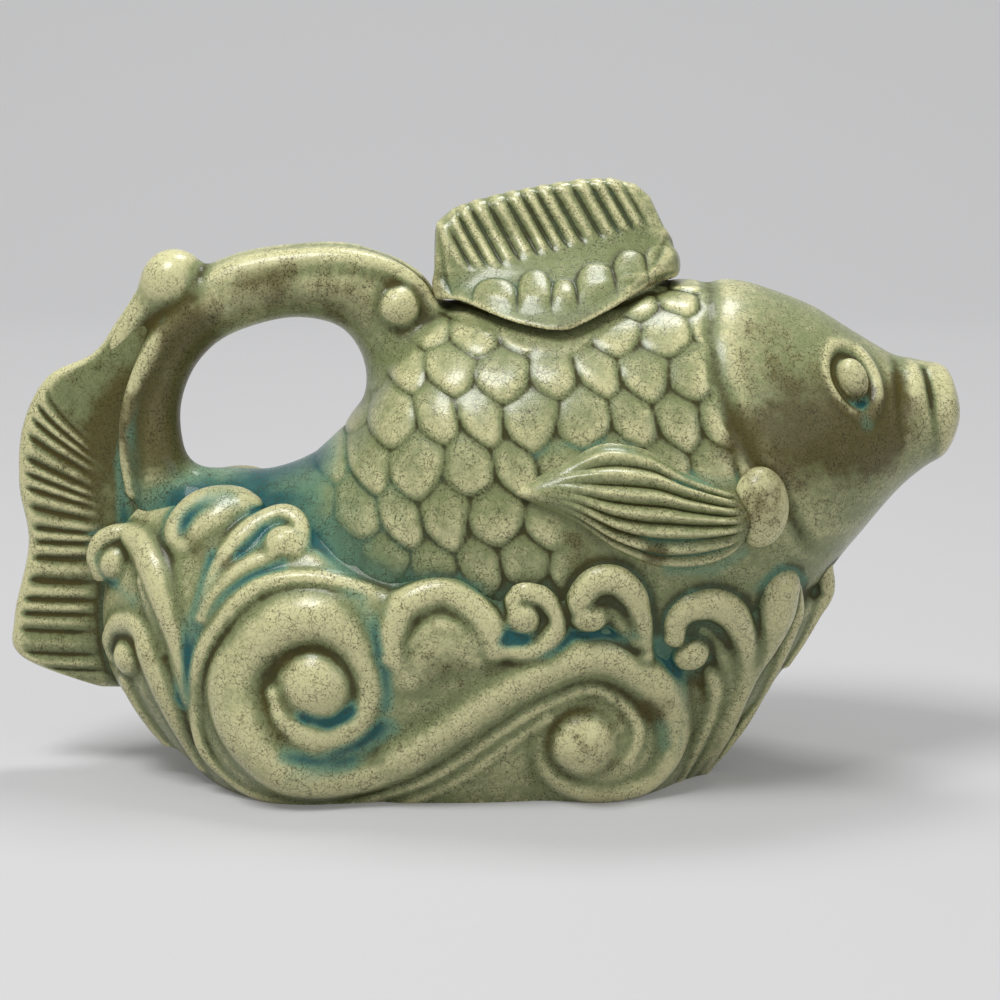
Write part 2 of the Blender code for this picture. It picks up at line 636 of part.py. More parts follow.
def main():
    for leftover in list(bpy.data.objects):
        bpy.data.objects.remove(leftover)
    collection = bpy.data.collections.new("fish_teapot")
    bpy.context.scene.collection.children.link(collection)
    fish, wave, fin, lid = (glaze(name) for name in GLAZES)
    assemble(collection, "pot", Vector((0, 0, 0)), (
        (fish_body(), fish),
        (wave_base(), wave),
        (handle(), fish),
        (tail_fin(), fin),
        (side_fin("pectoral_fin_right", -1), fin),
        (side_fin("pectoral_fin_left", 1), fin),
        (eye("eye_right", -1), fish),
        (eye("eye_left", 1), fish),
    ))
    assemble(collection, "lid", Vector((MOUTH_X, 0, FLANGE_BOTTOM)), (
        (lid_cap(), lid),
        (lid_flange(), lid),
        (dorsal_fin(), lid),
    ))


if __name__ == "__main__":
    main()
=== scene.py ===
"""Looks of the carp teapot: celadon-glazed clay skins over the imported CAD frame, with stage and camera.

Lengths in this file are millimetres until a mesh is made. The carp looks along +X and stands on Z = 0.
"""

import math

import bmesh
import bpy
import numpy as np
import openvdb
from bpy.props import FloatProperty, FloatVectorProperty, IntProperty, PointerProperty
from mathutils import Matrix, Vector


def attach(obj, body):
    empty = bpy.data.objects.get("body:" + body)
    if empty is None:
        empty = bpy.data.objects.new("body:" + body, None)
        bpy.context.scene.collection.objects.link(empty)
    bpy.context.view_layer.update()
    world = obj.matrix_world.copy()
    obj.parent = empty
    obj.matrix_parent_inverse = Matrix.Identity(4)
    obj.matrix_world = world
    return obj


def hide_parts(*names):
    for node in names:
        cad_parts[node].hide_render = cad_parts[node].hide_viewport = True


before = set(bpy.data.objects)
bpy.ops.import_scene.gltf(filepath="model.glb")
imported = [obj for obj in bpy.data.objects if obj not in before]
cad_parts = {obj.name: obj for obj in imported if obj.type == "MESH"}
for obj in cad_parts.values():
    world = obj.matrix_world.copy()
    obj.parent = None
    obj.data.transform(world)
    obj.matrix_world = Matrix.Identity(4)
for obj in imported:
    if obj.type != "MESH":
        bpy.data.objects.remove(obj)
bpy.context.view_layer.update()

bl_info = {
    "name": "Carp Teapot",
    "version": (1, 0, 0),
    "blender": (4, 5, 0),
    "location": "View3D > Sidebar > Carp Teapot",
    "description": "Glazed clay skins for the carp teapot, with its stage",
    "category": "Add Mesh",
}

MM = 0.001
FAR = 50.0
TINY = 1e-6
SHARP = 0.01

# How a skin is measured for its glaze: rounds of smoothing, and the height in mm that counts as full
STAND_OUT_SCALES = ((5, 0.14), (22, 0.4), (90, 1.0))

# Clay walls and what is cut into them
WALL = 5.0
FLOOR = 6.0
HOLLOW_START = -48.0
HOLLOW_END = 104.0
HOLLOW_SIDES = 48
HOLLOW_STEP = 4
BOWL_HOLLOW_TOP = 50.0
SPOUT_RADIUS = 5.5
SPOUT_INNER = (95.0, 0.0, 86.0)
SPOUT_OUTER = (126.0, 0.0, 92.5)
SPOUT_ROUNDING = 2.0
MOUTH_ROUNDING = 1.2

# Boxes on whose grid the clay is worked out: lowest and highest x, y, z
CARP_FIELD = ((-98, 0, 6), (122, 48, 136))
LIP_FIELD = ((-20, 0, 100), (60, 40, 132))
HANDLE_FIELD = ((-98, 0, 40), (8, 30, 136))
WAVE_FIELD = ((-102, 0, -4), (92, 56, 78))
LID_FIELD = ((-14, 0, 102), (53, 33, 150))

# The carp from the root of the tail to the lips: x, belly, back, half width
CARP_STATIONS = (
    (-80, 51, 73, 8), (-66, 44, 76, 15), (-52, 36, 76, 22), (-40, 28, 81, 29), (-30, 22, 92, 34.5),
    (-20, 17, 108, 38.5), (-8, 13, 117, 41), (10, 10, 120.5, 43), (30, 10, 122.3, 43.5), (50, 14, 123, 41.5),
    (65, 24, 122, 38), (80, 42, 117.5, 31.5), (92, 57.5, 110.5, 25), (103, 70.5, 104.2, 18),
    (110, 76.5, 103, 14.5), (115, 79.5, 101.8, 13), (118, 83, 98.5, 10.5),
)
CARP_END_ROUNDING = 5.0
CARP_SAMPLES = 240

# The oval on whose arc the rows of scales are spaced: height of its middle, half width, half height
FLANK_MIDDLE = 66.0
FLANK_HALF = (43.0, 56.0)

# How far scales stray along and round the flank, and the shape of one: the powers of its end, side and
# edge, its height at the middle and what its tilt adds, and the height that counts as the skin
SCALE_WOBBLE = (1.1, 0.9)
SCALE_END_POWER = 1.7
SCALE_SIDE_POWER = 1.9
SCALE_EDGE_POWER = 1.8
SCALE_MIDDLE = 0.52
SCALE_TILT = 0.48
SCALE_LEVEL = 0.45

# The wave bowl from below the foot up: z, middle x, half length, half width
BOWL_STATIONS = (
    (-6, -7, 55, 30), (0, -7.5, 62.5, 33), (12, -9, 74, 38), (25, -8.5, 83.5, 41), (38, -5.5, 88.5, 42.5),
    (48, -3.5, 89.5, 42.5), (56, -7, 84, 38), (64, -16, 71, 30), (70, -27, 54, 20),
)

# Two swellings of the bowl, under the large scrolls: centre, radii
BOWL_SWELLS = (((-41, 0, 20), (33, 42, 34)), ((27, 0, 16), (27, 38, 30)))
BOWL_TOP_ROUNDING = 3.0
BOWL_SAMPLES = 160
BOWL_HOLLOW_RINGS = 12

# Clay strokes of the waves seen from the side, each with its height as a share of its half width,
# and x, z, half width along it
WAVES = (
    # The long wave, from the large left eye down and up to the right eye
    (0.55, ((-48, 28.5, 1.4), (-45.5, 22.5, 2.2), (-38, 18.5, 2.7), (-29.5, 21.5, 3.2), (-25.5, 30.5, 3.7),
            (-28.5, 40, 4.5), (-35, 45.5, 5.9), (-43, 45, 6.6), (-50.5, 40, 6.9), (-55.5, 32, 7.6),
            (-55.5, 24.5, 7.6), (-52.5, 17.5, 7.1), (-46.5, 11, 6.2), (-39.5, 8.5, 5.3), (-31.5, 8.5, 5),
            (-23.5, 10.5, 5.2), (-16.5, 14.5, 5.4), (-4, 23, 5.2), (7.5, 31, 4.9), (16, 35, 4.9),
            (23.5, 37.5, 5.1), (31, 37, 5.4), (38, 32.5, 5.4), (43.5, 25, 5.2), (45, 17.5, 5.1),
            (44, 11, 4.6), (40.5, 6, 3.8), (36, 4, 3.2), (28, 3.5, 2.9), (21.5, 5.5, 2.6), (16.5, 10, 2.4),
            (14.5, 17, 2.1), (17, 23.5, 1.9), (23, 26.5, 1.6), (29.5, 24.5, 1.4), (32.5, 19.5, 1.1))),
    # The thin rim outside it, which runs on under the long wave into the right turn, and a stripe below it
    (0.95, ((-26, 53, 1), (-38, 55.5, 1.5), (-49.5, 54, 1.8), (-57.5, 48.5, 1.9), (-65, 38, 1.9),
            (-67.5, 27.5, 1.8), (-67, 12.5, 1.8), (-59, 4.5, 1.6), (-50.5, 1.5, 1.4), (-41.5, 1, 1),
            (-32, 0, 1.1), (-21.5, 3, 1.1), (-10, 8.5, 1.1), (3, 18, 1.1), (15.5, 26, 1.1), (25, 29.5, 1.1),
            (31.5, 27, 1.1), (36.5, 21.5, 1.2), (37.5, 16.5, 1.1), (35.5, 11.5, 0.8))),
    (0.95, ((-25, -3.5, 1), (-7, 6, 1), (6.5, 16, 0.9), (16, 23, 0.9))),
    # Scrolls and stems on the left
    (0.75, ((-94, 51, 1.8), (-95, 55, 2.1), (-93.5, 59, 2.3), (-90, 61, 2.4), (-85.5, 60.5, 3),
            (-81, 58.5, 4), (-78, 54.5, 4.5), (-75.5, 49, 4.1), (-73.5, 43, 3.2), (-72, 36.5, 2.2),
            (-71, 29, 1.2), (-70.5, 24, 0.7))),
    (0.9, ((-81.5, 51.5, 0.9), (-79.5, 47, 1.2), (-77.5, 41.5, 1), (-75.5, 36, 0.7))),
    (0.75, ((-91, 31.5, 1.8), (-91.5, 35, 2.1), (-88.5, 39.5, 2.4), (-84, 41, 2.8), (-80.5, 39, 3.6),
            (-79, 34.5, 3.9), (-77, 29, 3.8), (-74.5, 22, 3.4), (-71.5, 14, 2.8), (-68, 6, 2.4))),
    (0.8, ((-86.5, 25.5, 2.4), (-83.5, 19.5, 2.6), (-80, 13, 2.4), (-78, 9.5, 2.2))),
    (0.75, ((-71.5, 59, 1.6), (-73, 62.5, 2.8), (-71.5, 65.5, 3.8), (-68, 68, 4.6), (-63.5, 69, 5),
            (-59, 69.5, 4.4), (-55.5, 69.5, 2.8))),
    (0.5, ((-69.5, 60.5, 2.6), (-63.5, 65, 4.6), (-57.5, 68, 3.4))),
    (0.8, ((-66, 45, 0.9), (-64.5, 49.5, 1.4), (-62.5, 54.5, 2), (-60, 59, 2.3), (-56, 63.5, 2.7),
           (-51.5, 66.5, 2.9), (-46.5, 68, 2.9), (-43, 66, 2.7), (-42.5, 63, 2.5), (-43.5, 61, 2.2))),
    (0.7, ((-49, 59.5, 1.9), (-53.5, 57.5, 2.2), (-58, 55, 2.1), (-62, 50.5, 1.7), (-64.5, 45, 1))),
    # Small waves along the top
    (0.7, ((-20, 38.5, 3.2), (-19.5, 44.5, 3.6), (-17, 49.5, 4), (-12, 52, 4.2), (-7, 52.5, 4.2),
           (-2, 50, 4), (2, 45.5, 3.6), (3.5, 40.5, 2.8))),
    (0.32, ((-16, 35.5, 5.1), (-10, 41, 6.8), (-2.5, 41.5, 5.7))),
    (0.8, ((-15, 42, 0.8), (-11.5, 45.5, 1), (-6.5, 46, 1), (-1, 42.5, 0.7))),
    (0.8, ((-14, 36, 0.7), (-10, 40, 0.9), (-5, 40.5, 0.9), (-0.5, 38, 0.7))),
    (0.8, ((4, 40.5, 1.6), (10, 39.5, 2.1), (14.5, 40.5, 2.3), (17.5, 44, 2.6), (18, 48, 2.7),
           (15, 52, 2.9), (11, 53.5, 2.9), (8.5, 51.5, 2.5))),
    (0.72, ((39, 38, 2.1), (38.5, 43.5, 2.5), (37.5, 48, 2.9), (35.5, 53, 3.6), (31.5, 56.5, 4),
            (27, 56, 4), (24, 52, 3.7), (24, 48, 3.1))),
    (0.5, ((29.5, 51.5, 3.2), (33.5, 46.5, 3), (36.5, 42, 2))),
    # Scrolls and stems on the right
    (0.7, ((46, 42, 2.5), (46.5, 46.5, 3.2), (49.5, 49.5, 3.8), (55, 50, 4.3), (59.5, 46.5, 4.3),
           (62.5, 39.5, 4.2), (63, 31.5, 4.1), (61.5, 23.5, 4), (59, 14, 3.8), (55.5, 5, 3.2),
           (51, -2.5, 2.5))),
    (0.5, ((53, 44, 3.4), (58, 36, 3.2), (59, 23.5, 2.8), (55.5, 10, 2.2), (51.5, 1, 1.4))),
    (0.7, ((54.5, 33.5, 2.2), (56.5, 27, 2.2), (55.5, 19, 2.1), (52.5, 9.5, 1.8), (49.5, 1.5, 1.2))),
    (0.6, ((70.5, 52, 5.6), (69, 45.5, 6.2), (67, 38, 5.2), (64.5, 30, 3.6), (61, 20.5, 2.2))),
    (0.85, ((76, 51, 1.8), (77, 43.5, 2), (75, 36.5, 2), (71.5, 27, 2), (67, 16, 1.9), (61.5, 7.5, 1.7),
            (56.5, 1, 1.3), (54, -3, 1))),
    (0.8, ((84.5, 53.5, 2.3), (85, 47, 2.8), (82.5, 41.5, 2.4), (79.5, 34, 1.4), (76.5, 28, 0.7))),
)
# Round eyes of the scrolls: x, z, radius, height as a share of it
WAVE_EYES = (
    (-38, 30.5, 8.9, 0.62), (24.5, 16.5, 8, 0.62), (-89, 54, 4.8, 0.75), (-85.5, 32, 4.2, 0.75),
    (-46.5, 62, 4.2, 0.75), (10.5, 48, 3.9, 0.8), (26.5, 48, 3.8, 0.8), (50, 37.5, 4.6, 0.8),
)
WAVE_BLEND = 1.8
BOWL_GROWTH = 0.8
SWELL_BLEND = 4.0
WAVE_LEAST_Y = 9.0
SEAM_DEPTH = 1.2
SEAM_WIDTH = 2.5
WAVE_STEPS = 7
WAVE_ROOM = 8.0
FOOT_DEPTH = 2.0
GROUND_HALF = 200
GROUND_DEPTH = 50

# The handle loop: x, z, radius
HANDLE_STATIONS = (
    (-15.5, 102, 11), (-22.8, 115.2, 10.8), (-32, 121.6, 10.2), (-45, 122.8, 9), (-58, 120.5, 9),
    (-69, 115, 8.5), (-76.5, 106, 7.5), (-80.5, 95, 6.8), (-81, 84, 6.8), (-79, 72, 8), (-74, 60, 10),
)
HANDLE_STEPS = 60
HANDLE_KNUCKLE = (-75.0, 0.0, 122.5)
HANDLE_KNUCKLE_RADIUS = 8.0
HANDLE_CURL = (-19.5, 8.5, 117.0)
HANDLE_CURL_RADIUS = 5.0
HANDLE_BLEND = 7.0
KNUCKLE_BLEND = 3.0
CURL_BLEND = 1.5

# The tail fin: x, z of the edge under the handle and of the free edge
TAIL_ROOT_EDGE = (
    (-75, 120), (-79, 108), (-82, 96), (-83, 84), (-83, 72), (-84, 58), (-86, 46), (-87, 34), (-86, 20),
)
TAIL_FREE_EDGE = (
    (-81.5, 125), (-88.5, 114), (-95.5, 105), (-107, 99), (-113.5, 87), (-115, 72), (-113.2, 57),
    (-117.5, 38), (-116, 28), (-96, 20),
)
# Ridges between handle and tail, down the tail's stalk and along the handle's crest: x, y, z, radius
TAIL_RIDGE = ((-71, 6.5, 116, 0.8), (-77, 6.5, 110, 1.4), (-83, 6, 100.5, 1.7), (-86.5, 5.5, 91, 1.7),
              (-87.5, 5, 81, 1.5), (-86.5, 4.5, 71, 1.2))
TAIL_STALK = ((-75, 0, 121, 6.8), (-83.5, 0, 114, 4.2), (-89.5, 0, 107, 3.2), (-94, 0, 101, 2.2))
HANDLE_CREST = ((-69, 4.5, 120, 1), (-58, 5, 125.6, 1.6), (-45, 5.5, 128, 1.8), (-33, 6, 128.4, 1.9),
                (-22, 6, 126.2, 2), (-15, 6.5, 121.6, 2), (-10.5, 7, 114, 1.6))
RIDGE_STEPS = 40
RIDGE_BLEND = 3.2
TAIL_ROOT_HALF = 5.0
TAIL_EDGE_HALF = 2.5
TAIL_STEPS = 220
TAIL_STEPS_ACROSS = 70
TAIL_END_STEPS = 9
# Where the tail's ribs fan out from: x, z
TAIL_FAN = (-88.0, 58.0)

# The side fins on the flank: x, z of both edges from root to tip, and the round root
SIDE_FIN_UPPER_EDGE = ((64, 76.5), (56.5, 78.3), (47.5, 82), (38.5, 87), (29.5, 88.5), (21.5, 85), (8.5, 78))
SIDE_FIN_LOWER_EDGE = ((64, 66.5), (59, 61.5), (52, 58.5), (43, 58.5), (33, 62.5), (22, 70), (8.5, 76.5))
SIDE_FIN_HEIGHT = 3.2
SIDE_FIN_EDGE = 1.2
SIDE_FIN_ROOT = (65.5, 73.0)
SIDE_FIN_ROOT_RADII = (6.8, 6.0, 9.5)
SIDE_FIN_ROOT_SEGMENTS = (64, 40)
SIDE_FIN_STEPS = 150
SIDE_FIN_STEPS_ALONG = 130
SIDE_FIN_SINK = 1.0
SIDE_FIN_DEPTH = 3.0

# Where the glaze has pooled blue-green, seen from the side: radius, share and a line of x, z
POOLS = (
    (5.5, 1.3, ((-72.5, 68), (-62.5, 73.5), (-51.5, 77), (-40.5, 82))),
    (4, 0.7, ((-52.5, 66.5), (-48.5, 72), (-40.5, 76))),
    (1.8, 1.1, ((-76, 112), (-83.5, 101.5), (-86.5, 91), (-89, 77), (-88.5, 64.5))),
    (2.0, 0.8, ((-95.5, 60.5), (-95.5, 52), (-84.5, 47))),
    (2.6, 1.2, ((-63.5, 58.5), (-64.5, 54), (-67.5, 46), (-70, 36), (-71.5, 24))),
    (2.6, 1.1, ((-73.5, 69.5), (-65, 72.5), (-54, 71), (-52, 66), (-57, 61))),
    (2.4, 0.9, ((-41.5, 65), (-33.5, 57), (-27.5, 52), (-23.5, 44), (-21.5, 36), (-21.5, 26))),
    (1.8, 0.9, ((-66.5, 44.5), (-60.5, 51.5), (-53.5, 56), (-46.5, 58))),
    (2.2, 1.2, ((-41, 24), (-35, 22), (-29.5, 24.5))),
    (2.6, 1.2, ((-46, 13.5), (-37.5, 12.5), (-29, 16), (-21, 21.5))),
    (4.5, 1.0, ((-44, 8.5), (-38.5, 9.5), (-31.5, 12.5))),
    (2.0, 0.8, ((-21, 48.5), (-18, 51.5), (-12.5, 54), (-0.5, 54.5))),
    (2.6, 1.5, ((6, 42.5), (9.5, 42.5))),
    (1.8, 0.8, ((8.5, 40.5), (16.5, 39.5), (22, 42.5), (33.5, 43.5), (39.5, 41.5))),
    (2.0, 0.8, ((42.5, 40), (46, 34), (48.5, 26.5), (48.5, 13.5), (46, 5.5))),
    (3.0, 0.7, ((45, 19), (45.5, 14))),
    (2.2, 0.6, ((14.5, 86), (26, 88.5), (35.5, 87))),
    (2.2, 0.9, ((47, 80), (58.5, 79.5))),
    (2.2, 1.0, ((44, 59), (55, 58.5), (62, 62.5))),
    (3.5, 0.6, ((40.5, 66), (57, 63.5))),
    (1.8, 0.6, ((45.5, 47.5), (50.5, 52), (59.5, 49.5))),
    (1.8, 0.7, ((65, 53), (71, 57.5), (78, 53))),
    (2.2, 0.9, ((91, 94.5), (92.5, 90.5))),
)
# Where it is stained brown, seen from the side: x, z, radius, share
STAINS = (
    (75, 88, 17.5, 0.9), (95.5, 87, 10.5, 0.85), (60.5, 91, 6, 0.5), (101, 97, 6, 0.5), (67, 114, 13, 0.3),
    (-79, 88, 13, 1.5), (-71, 111, 10, 1.2), (-52, 121, 11, 0.6), (-32, 120, 11, 0.65), (-13, 122, 6, 0.7),
    (-99.5, 77, 16, 0.35), (-101, 40, 14, 0.25), (28.5, 113, 14, 0.2), (23.5, 65, 8, 0.6), (41, 63.5, 3, 0.9),
    (40, 73, 13, 0.3), (65.5, 73, 7, 0.45), (-9, 37, 8, 0.4), (24.5, 17, 12, 0.5), (42, 24, 5, 0.6),
    (53, 26.5, 6, 0.5), (-70, 63, 4, 0.5), (-65.5, 58, 4, 0.5), (-58, 58.5, 5, 0.5), (-80, 34, 6, 0.35),
    (-53, 22, 11, 0.35), (-42, 40, 9, 0.3),
)

# The eyes: x, z, radii, lean in degrees, and the ring and the socket round them
EYE_PLACE = (89.0, 101.0)
EYE_RADII = (3.5, 3.2, 5.1)
EYE_TILT = 20.0
EYE_SEGMENTS = (56, 36)
EYE_RING_RADIUS = 6.0
EYE_SOCKET_RADIUS = 4.1
# The swelling of the upper lip: x, z, and its half length and height
UPPER_LIP = (105.5, 98.5, 2.5, 4.8)
SNOUT_GROOVE_X = 101.3
MOUTH_GROOVE_X = 109.5

# The gill groove from the back down: x, z
GILL_LINE = (
    (56.5, 125), (54.5, 112), (56, 102), (59.5, 92), (64, 84), (69, 78), (72.5, 72), (76, 66), (78.5, 60),
)

# Lid mouth, its lip, and the lid
MOUTH_X = 20.0
MOUTH_HALF = (22.0, 16.0)
LIP_WIDTH = 3.5
LIP_HEIGHT = 1.5
LIP_ROUNDING = 1.0
LIP_BLEND = 0.6
LID_SEAT_GAP = 0.3
LID_FIT = 0.6
LID_HANDLE_GAP = 3.3
FLANGE_WALL = 3.0
FLANGE_BOTTOM = 104.0
CAP_X = 20.6
CAP_BACK = 31.2
CAP_FRONT = 26.4
CAP_SIDE = 30.2
CAP_BACK_POINT = 1.7
CAP_FRONT_POINT = 1.4
CAP_RIM = 2.5
CAP_RIM_ROUNDING = 2.0
CAP_TAIL_LIFT = 1.4
CAP_CREST_HALF_WIDTH = 7.4
CAP_TOP = 130.0
CAP_TOP_ROUNDING = 4.0
CAP_ROOF = 4.0
CAP_HOLLOW_HEIGHT = 6.0
SEAT_ROUNDING = 1.2
COLLAR_ROUNDING = 1.0
COLLAR_BLEND = 0.8
DORSAL_OUTLINE = (
    (-10, 120), (-11, 128), (-10.5, 137), (-6.5, 140.5), (-1, 142.5), (7, 144.5), (16, 146.2), (25, 147.6),
    (32, 147.8), (38, 146.4), (41.5, 143.5), (45.5, 135), (47.8, 127), (47.8, 120),
)
DORSAL_ROOT_HALF = 8.6
DORSAL_EDGE_HALF = 3.2
DORSAL_LEAN = 0.58
DORSAL_ROUNDING = 4.0
DORSAL_BLEND = 8.0
DORSAL_TAPER_DROP = 4.0
DORSAL_TAPER_HEIGHT = 18.0

# Round shields along the lid's rim: x from, x to, z, half height
LID_PADS = (
    (-1.5, 9.2, 119, 5.2), (9, 17.8, 119.2, 7), (16.8, 23.6, 118.2, 6), (23, 33.2, 121, 6.8),
    (32, 40.8, 124.4, 6.2), (39.8, 47.6, 126.6, 5.4),
)
PAD_HEIGHT = 1.2
PAD_SQUARENESS = 2.4
PAD_FLATNESS = 0.7

# Sizes of the glaze's patterns, how far its cracks stray, and the depth of its dimples
CLOUD_SIZE = 26
PATCH_SIZE = 5
DAPPLE_SIZE = 1.6
GRAIN_SIZE = 0.5
CRACK_WARP = 0.9
CRACK_WARP_SIZE = 3
SPECK_SIZE = 2.2
DIMPLE_DEPTH = 0.4

# The stage, in metres: the floor with its bend at the back, its glow near and far, the sky, the camera
FLOOR_HALF = 4
FLOOR_FRONT = -3.0
BACKDROP_TOP = 3.0
FLOOR_COLOUR = (0.47, 0.47, 0.48, 1)
FLOOR_GLOW_COLOUR = (0.97, 0.98, 1, 1)
FLOOR_GLOW = 0.1
BACKDROP_GLOW = 0.21
SKY_COLOUR = (1.0, 0.985, 0.955, 1)
SKY_STRENGTH = 0.36
SWEEP_START = 1.2
SWEEP_RADIUS = 0.8
SWEEP_STEPS = 16
CAMERA_TARGET = (0.005, 0.0, 0.068)
CAMERA_DISTANCE = 0.56
CAMERA_TILT = 10.0
CAMERA_FRAME = 0.25
LIGHT_TARGET = (0.0, 0.0, 0.07)
# Lamps: name, place, width, watts
LAMPS = (
    ("window", (-0.4, -0.45, 1.2), 0.45, 11.5), ("strip", (0.1, 0.3, 1.0), 0.3, 4.0),
    ("fill", (0.9, -0.9, 0.7), 0.8, 2.5),
)


def smooth_curve(points, samples):
    """Points on a Catmull-Rom curve through the given ones."""
    points = np.asarray(points, dtype=float)
    knots = np.vstack([2 * points[0] - points[1], points, 2 * points[-1] - points[-2]])
    place = np.linspace(0, len(points) - 1, samples)
    span = np.minimum(place.astype(int), len(points) - 2)
    t = (place - span)[:, None]
    a, b, c, d = (knots[span + step] for step in range(4))
    return (2 * b + (c - a) * t + (2 * a - 5 * b + 4 * c - d) * t**2 + (3 * b - a - 3 * c + d) * t**3) / 2


CARP = smooth_curve(CARP_STATIONS, CARP_SAMPLES)
CARP_SLOPE = np.gradient(CARP, CARP[:, 0], axis=0)
BOWL = smooth_curve(BOWL_STATIONS, BOWL_SAMPLES)
BOWL_SLOPE = np.gradient(BOWL, BOWL[:, 0], axis=0)


def read_rows(rows, running, place):
    """Every column of a table of rows but its first, read at a place in the running column."""
    return [np.interp(place, running, rows[:, column]) for column in range(1, rows.shape[1])]


def smooth_min(a, b, blend):
    """Union of two distances with a fillet."""
    share = np.clip(0.5 + 0.5 * (b - a) / blend, 0, 1)
    return b + (a - b) * share - blend * share * (1 - share)


def smooth_max(a, b, blend):
    """What two distances share, with a rounded edge."""
    return -smooth_min(-a, -b, blend)


def fade(value, low, high):
    """0 below low, 1 above high, smooth between."""
    share = np.clip((value - low) / (high - low), 0, 1)
    return share * share * (3 - 2 * share)


def bump(value, width):
    """1 at zero, falling off softly on both sides."""
    return np.exp(-(value / width)**2)


def carp_distance(x, y, z, grow=0.0):
    """Distance to the carp's skin, negative inside."""
    belly, back, half_width = read_rows(CARP, CARP[:, 0], x)
    belly_slope, back_slope, width_slope = read_rows(CARP_SLOPE, CARP[:, 0], x)
    height = (back - belly) / 2
    across = y / half_width
    lift = (z - (back + belly) / 2) / height
    reach = np.sqrt(across**2 + lift**2) + TINY
    slope_x = across**2 * width_slope / half_width
    level_slope = (back_slope + belly_slope) / 2 + lift * (back_slope - belly_slope) / 2
    slope_x = slope_x + lift * level_slope / height
    steepness = np.sqrt((across / half_width)**2 + (lift / height)**2 + slope_x**2) + TINY
    distance = reach * (reach - 1) / steepness - grow
    distance = smooth_max(distance, x - CARP[-1, 0], CARP_END_ROUNDING)
    return smooth_max(distance, CARP[0, 0] - x, CARP_END_ROUNDING)


def bowl_distance(x, y, z):
    """Distance to the wave bowl without its scrolls."""
    middle, length, width = read_rows(BOWL, BOWL[:, 0], z)
    middle_slope, length_slope, width_slope = read_rows(BOWL_SLOPE, BOWL[:, 0], z)
    along = (x - middle) / length
    across = y / width
    reach = np.sqrt(along**2 + across**2) + TINY
    slope_z = along * (middle_slope + along * length_slope) / length + across**2 * width_slope / width
    steepness = np.sqrt((along / length)**2 + (across / width)**2 + slope_z**2) + TINY
    whole = smooth_max(reach * (reach - 1) / steepness, z - BOWL[-1, 0], BOWL_TOP_ROUNDING)
    for centre, radii in BOWL_SWELLS:
        whole = smooth_min(whole, ball_distance(x, y, z, centre, radii), SWELL_BLEND)
    return whole


def ball_distance(x, y, z, centre, radii):
    """Distance to an ellipsoid."""
    offsets = [(axis - middle) / radius for axis, middle, radius in zip((x, y, z), centre, radii)]
    reach = np.sqrt(sum(offset**2 for offset in offsets)) + TINY
    steepness = np.sqrt(sum((offset / radius)**2 for offset, radius in zip(offsets, radii))) + TINY
    return reach * (reach - 1) / steepness


def roll_distance(x, y, z, points, radii):
    """Distance to a round roll of clay along the points."""
    nearest = FAR
    for start, end, first, last in zip(points, points[1:], radii, radii[1:]):
        run = np.subtract(end, start)
        offsets = (x - start[0], y - start[1], z - start[2])
        share = np.clip(sum(o * r for o, r in zip(offsets, run)) / max(run @ run, TINY), 0, 1)
        square = sum((o - share * r)**2 for o, r in zip(offsets, run))
        nearest = np.minimum(nearest, np.sqrt(square) - (first + share * (last - first)))
    return nearest


def oval_distance(x, y, half):
    """Rough distance to an upright oval post on the lid's axis."""
    reach = np.sqrt(((x - MOUTH_X) / half[0])**2 + (y / half[1])**2)
    return (reach - 1) * min(half)


def outline_distance(x, z, corners):
    """Distance to a closed outline in the middle plane, negative inside."""
    nearest = FAR**2
    inside = np.zeros(np.broadcast(x, z).shape, bool)
    for (x0, z0), (x1, z1) in zip(corners, corners[1:] + corners[:1]):
        run_x, run_z = x1 - x0, z1 - z0
        share = np.clip(((x - x0) * run_x + (z - z0) * run_z) / (run_x**2 + run_z**2), 0, 1)
        nearest = np.minimum(nearest, (x - x0 - share * run_x)**2 + (z - z0 - share * run_z)**2)
        crosses = (z0 > z) != (z1 > z)
        level = run_z if abs(run_z) > TINY else TINY
        inside ^= crosses & (x < x0 + run_x * (z - z0) / level)
    return np.where(inside, -1, 1) * np.sqrt(nearest)


def half_width_at(x, z):
    """How far the pot's skin stands from the middle plane, seen from the side."""
    belly, back, carp_width = read_rows(CARP, CARP[:, 0], x)
    lift = (2 * z - belly - back) / (back - belly)
    widest = carp_width * np.sqrt(np.maximum(0, 1 - lift**2))
    middle, length, width = read_rows(BOWL, BOWL[:, 0], z)
    widest = np.maximum(widest, width * np.sqrt(np.maximum(0, 1 - ((x - middle) / length)**2)))
    for centre, radii in BOWL_SWELLS:
        reach = ((x - centre[0]) / radii[0])**2 + ((z - centre[2]) / radii[2])**2
        widest = np.maximum(widest, radii[1] * np.sqrt(np.maximum(0, 1 - reach)))
    return widest


def back_at(x, y):
    """Height of the carp's back."""
    belly, back, half_width = read_rows(CARP, CARP[:, 0], x)
    return (belly + back) / 2 + (back - belly) / 2 * np.sqrt(np.maximum(0, 1 - (y / half_width)**2))


def clay_stroke(stations, rise):
    """Roll whose cap stands out of the flank by a share of its half width, as points and radii."""
    x, z, half = np.array(stations, float).T
    radii = half * (1 + rise**2) / (2 * rise)
    skin = np.pad(half_width_at(x, z), WAVE_STEPS, mode="edge")
    skin = np.convolve(skin, np.full(2 * WAVE_STEPS + 1, 1 / (2 * WAVE_STEPS + 1)), "valid")
    out = skin - radii + rise * half
    return np.column_stack([x, np.maximum(out, WAVE_LEAST_Y), z]), radii


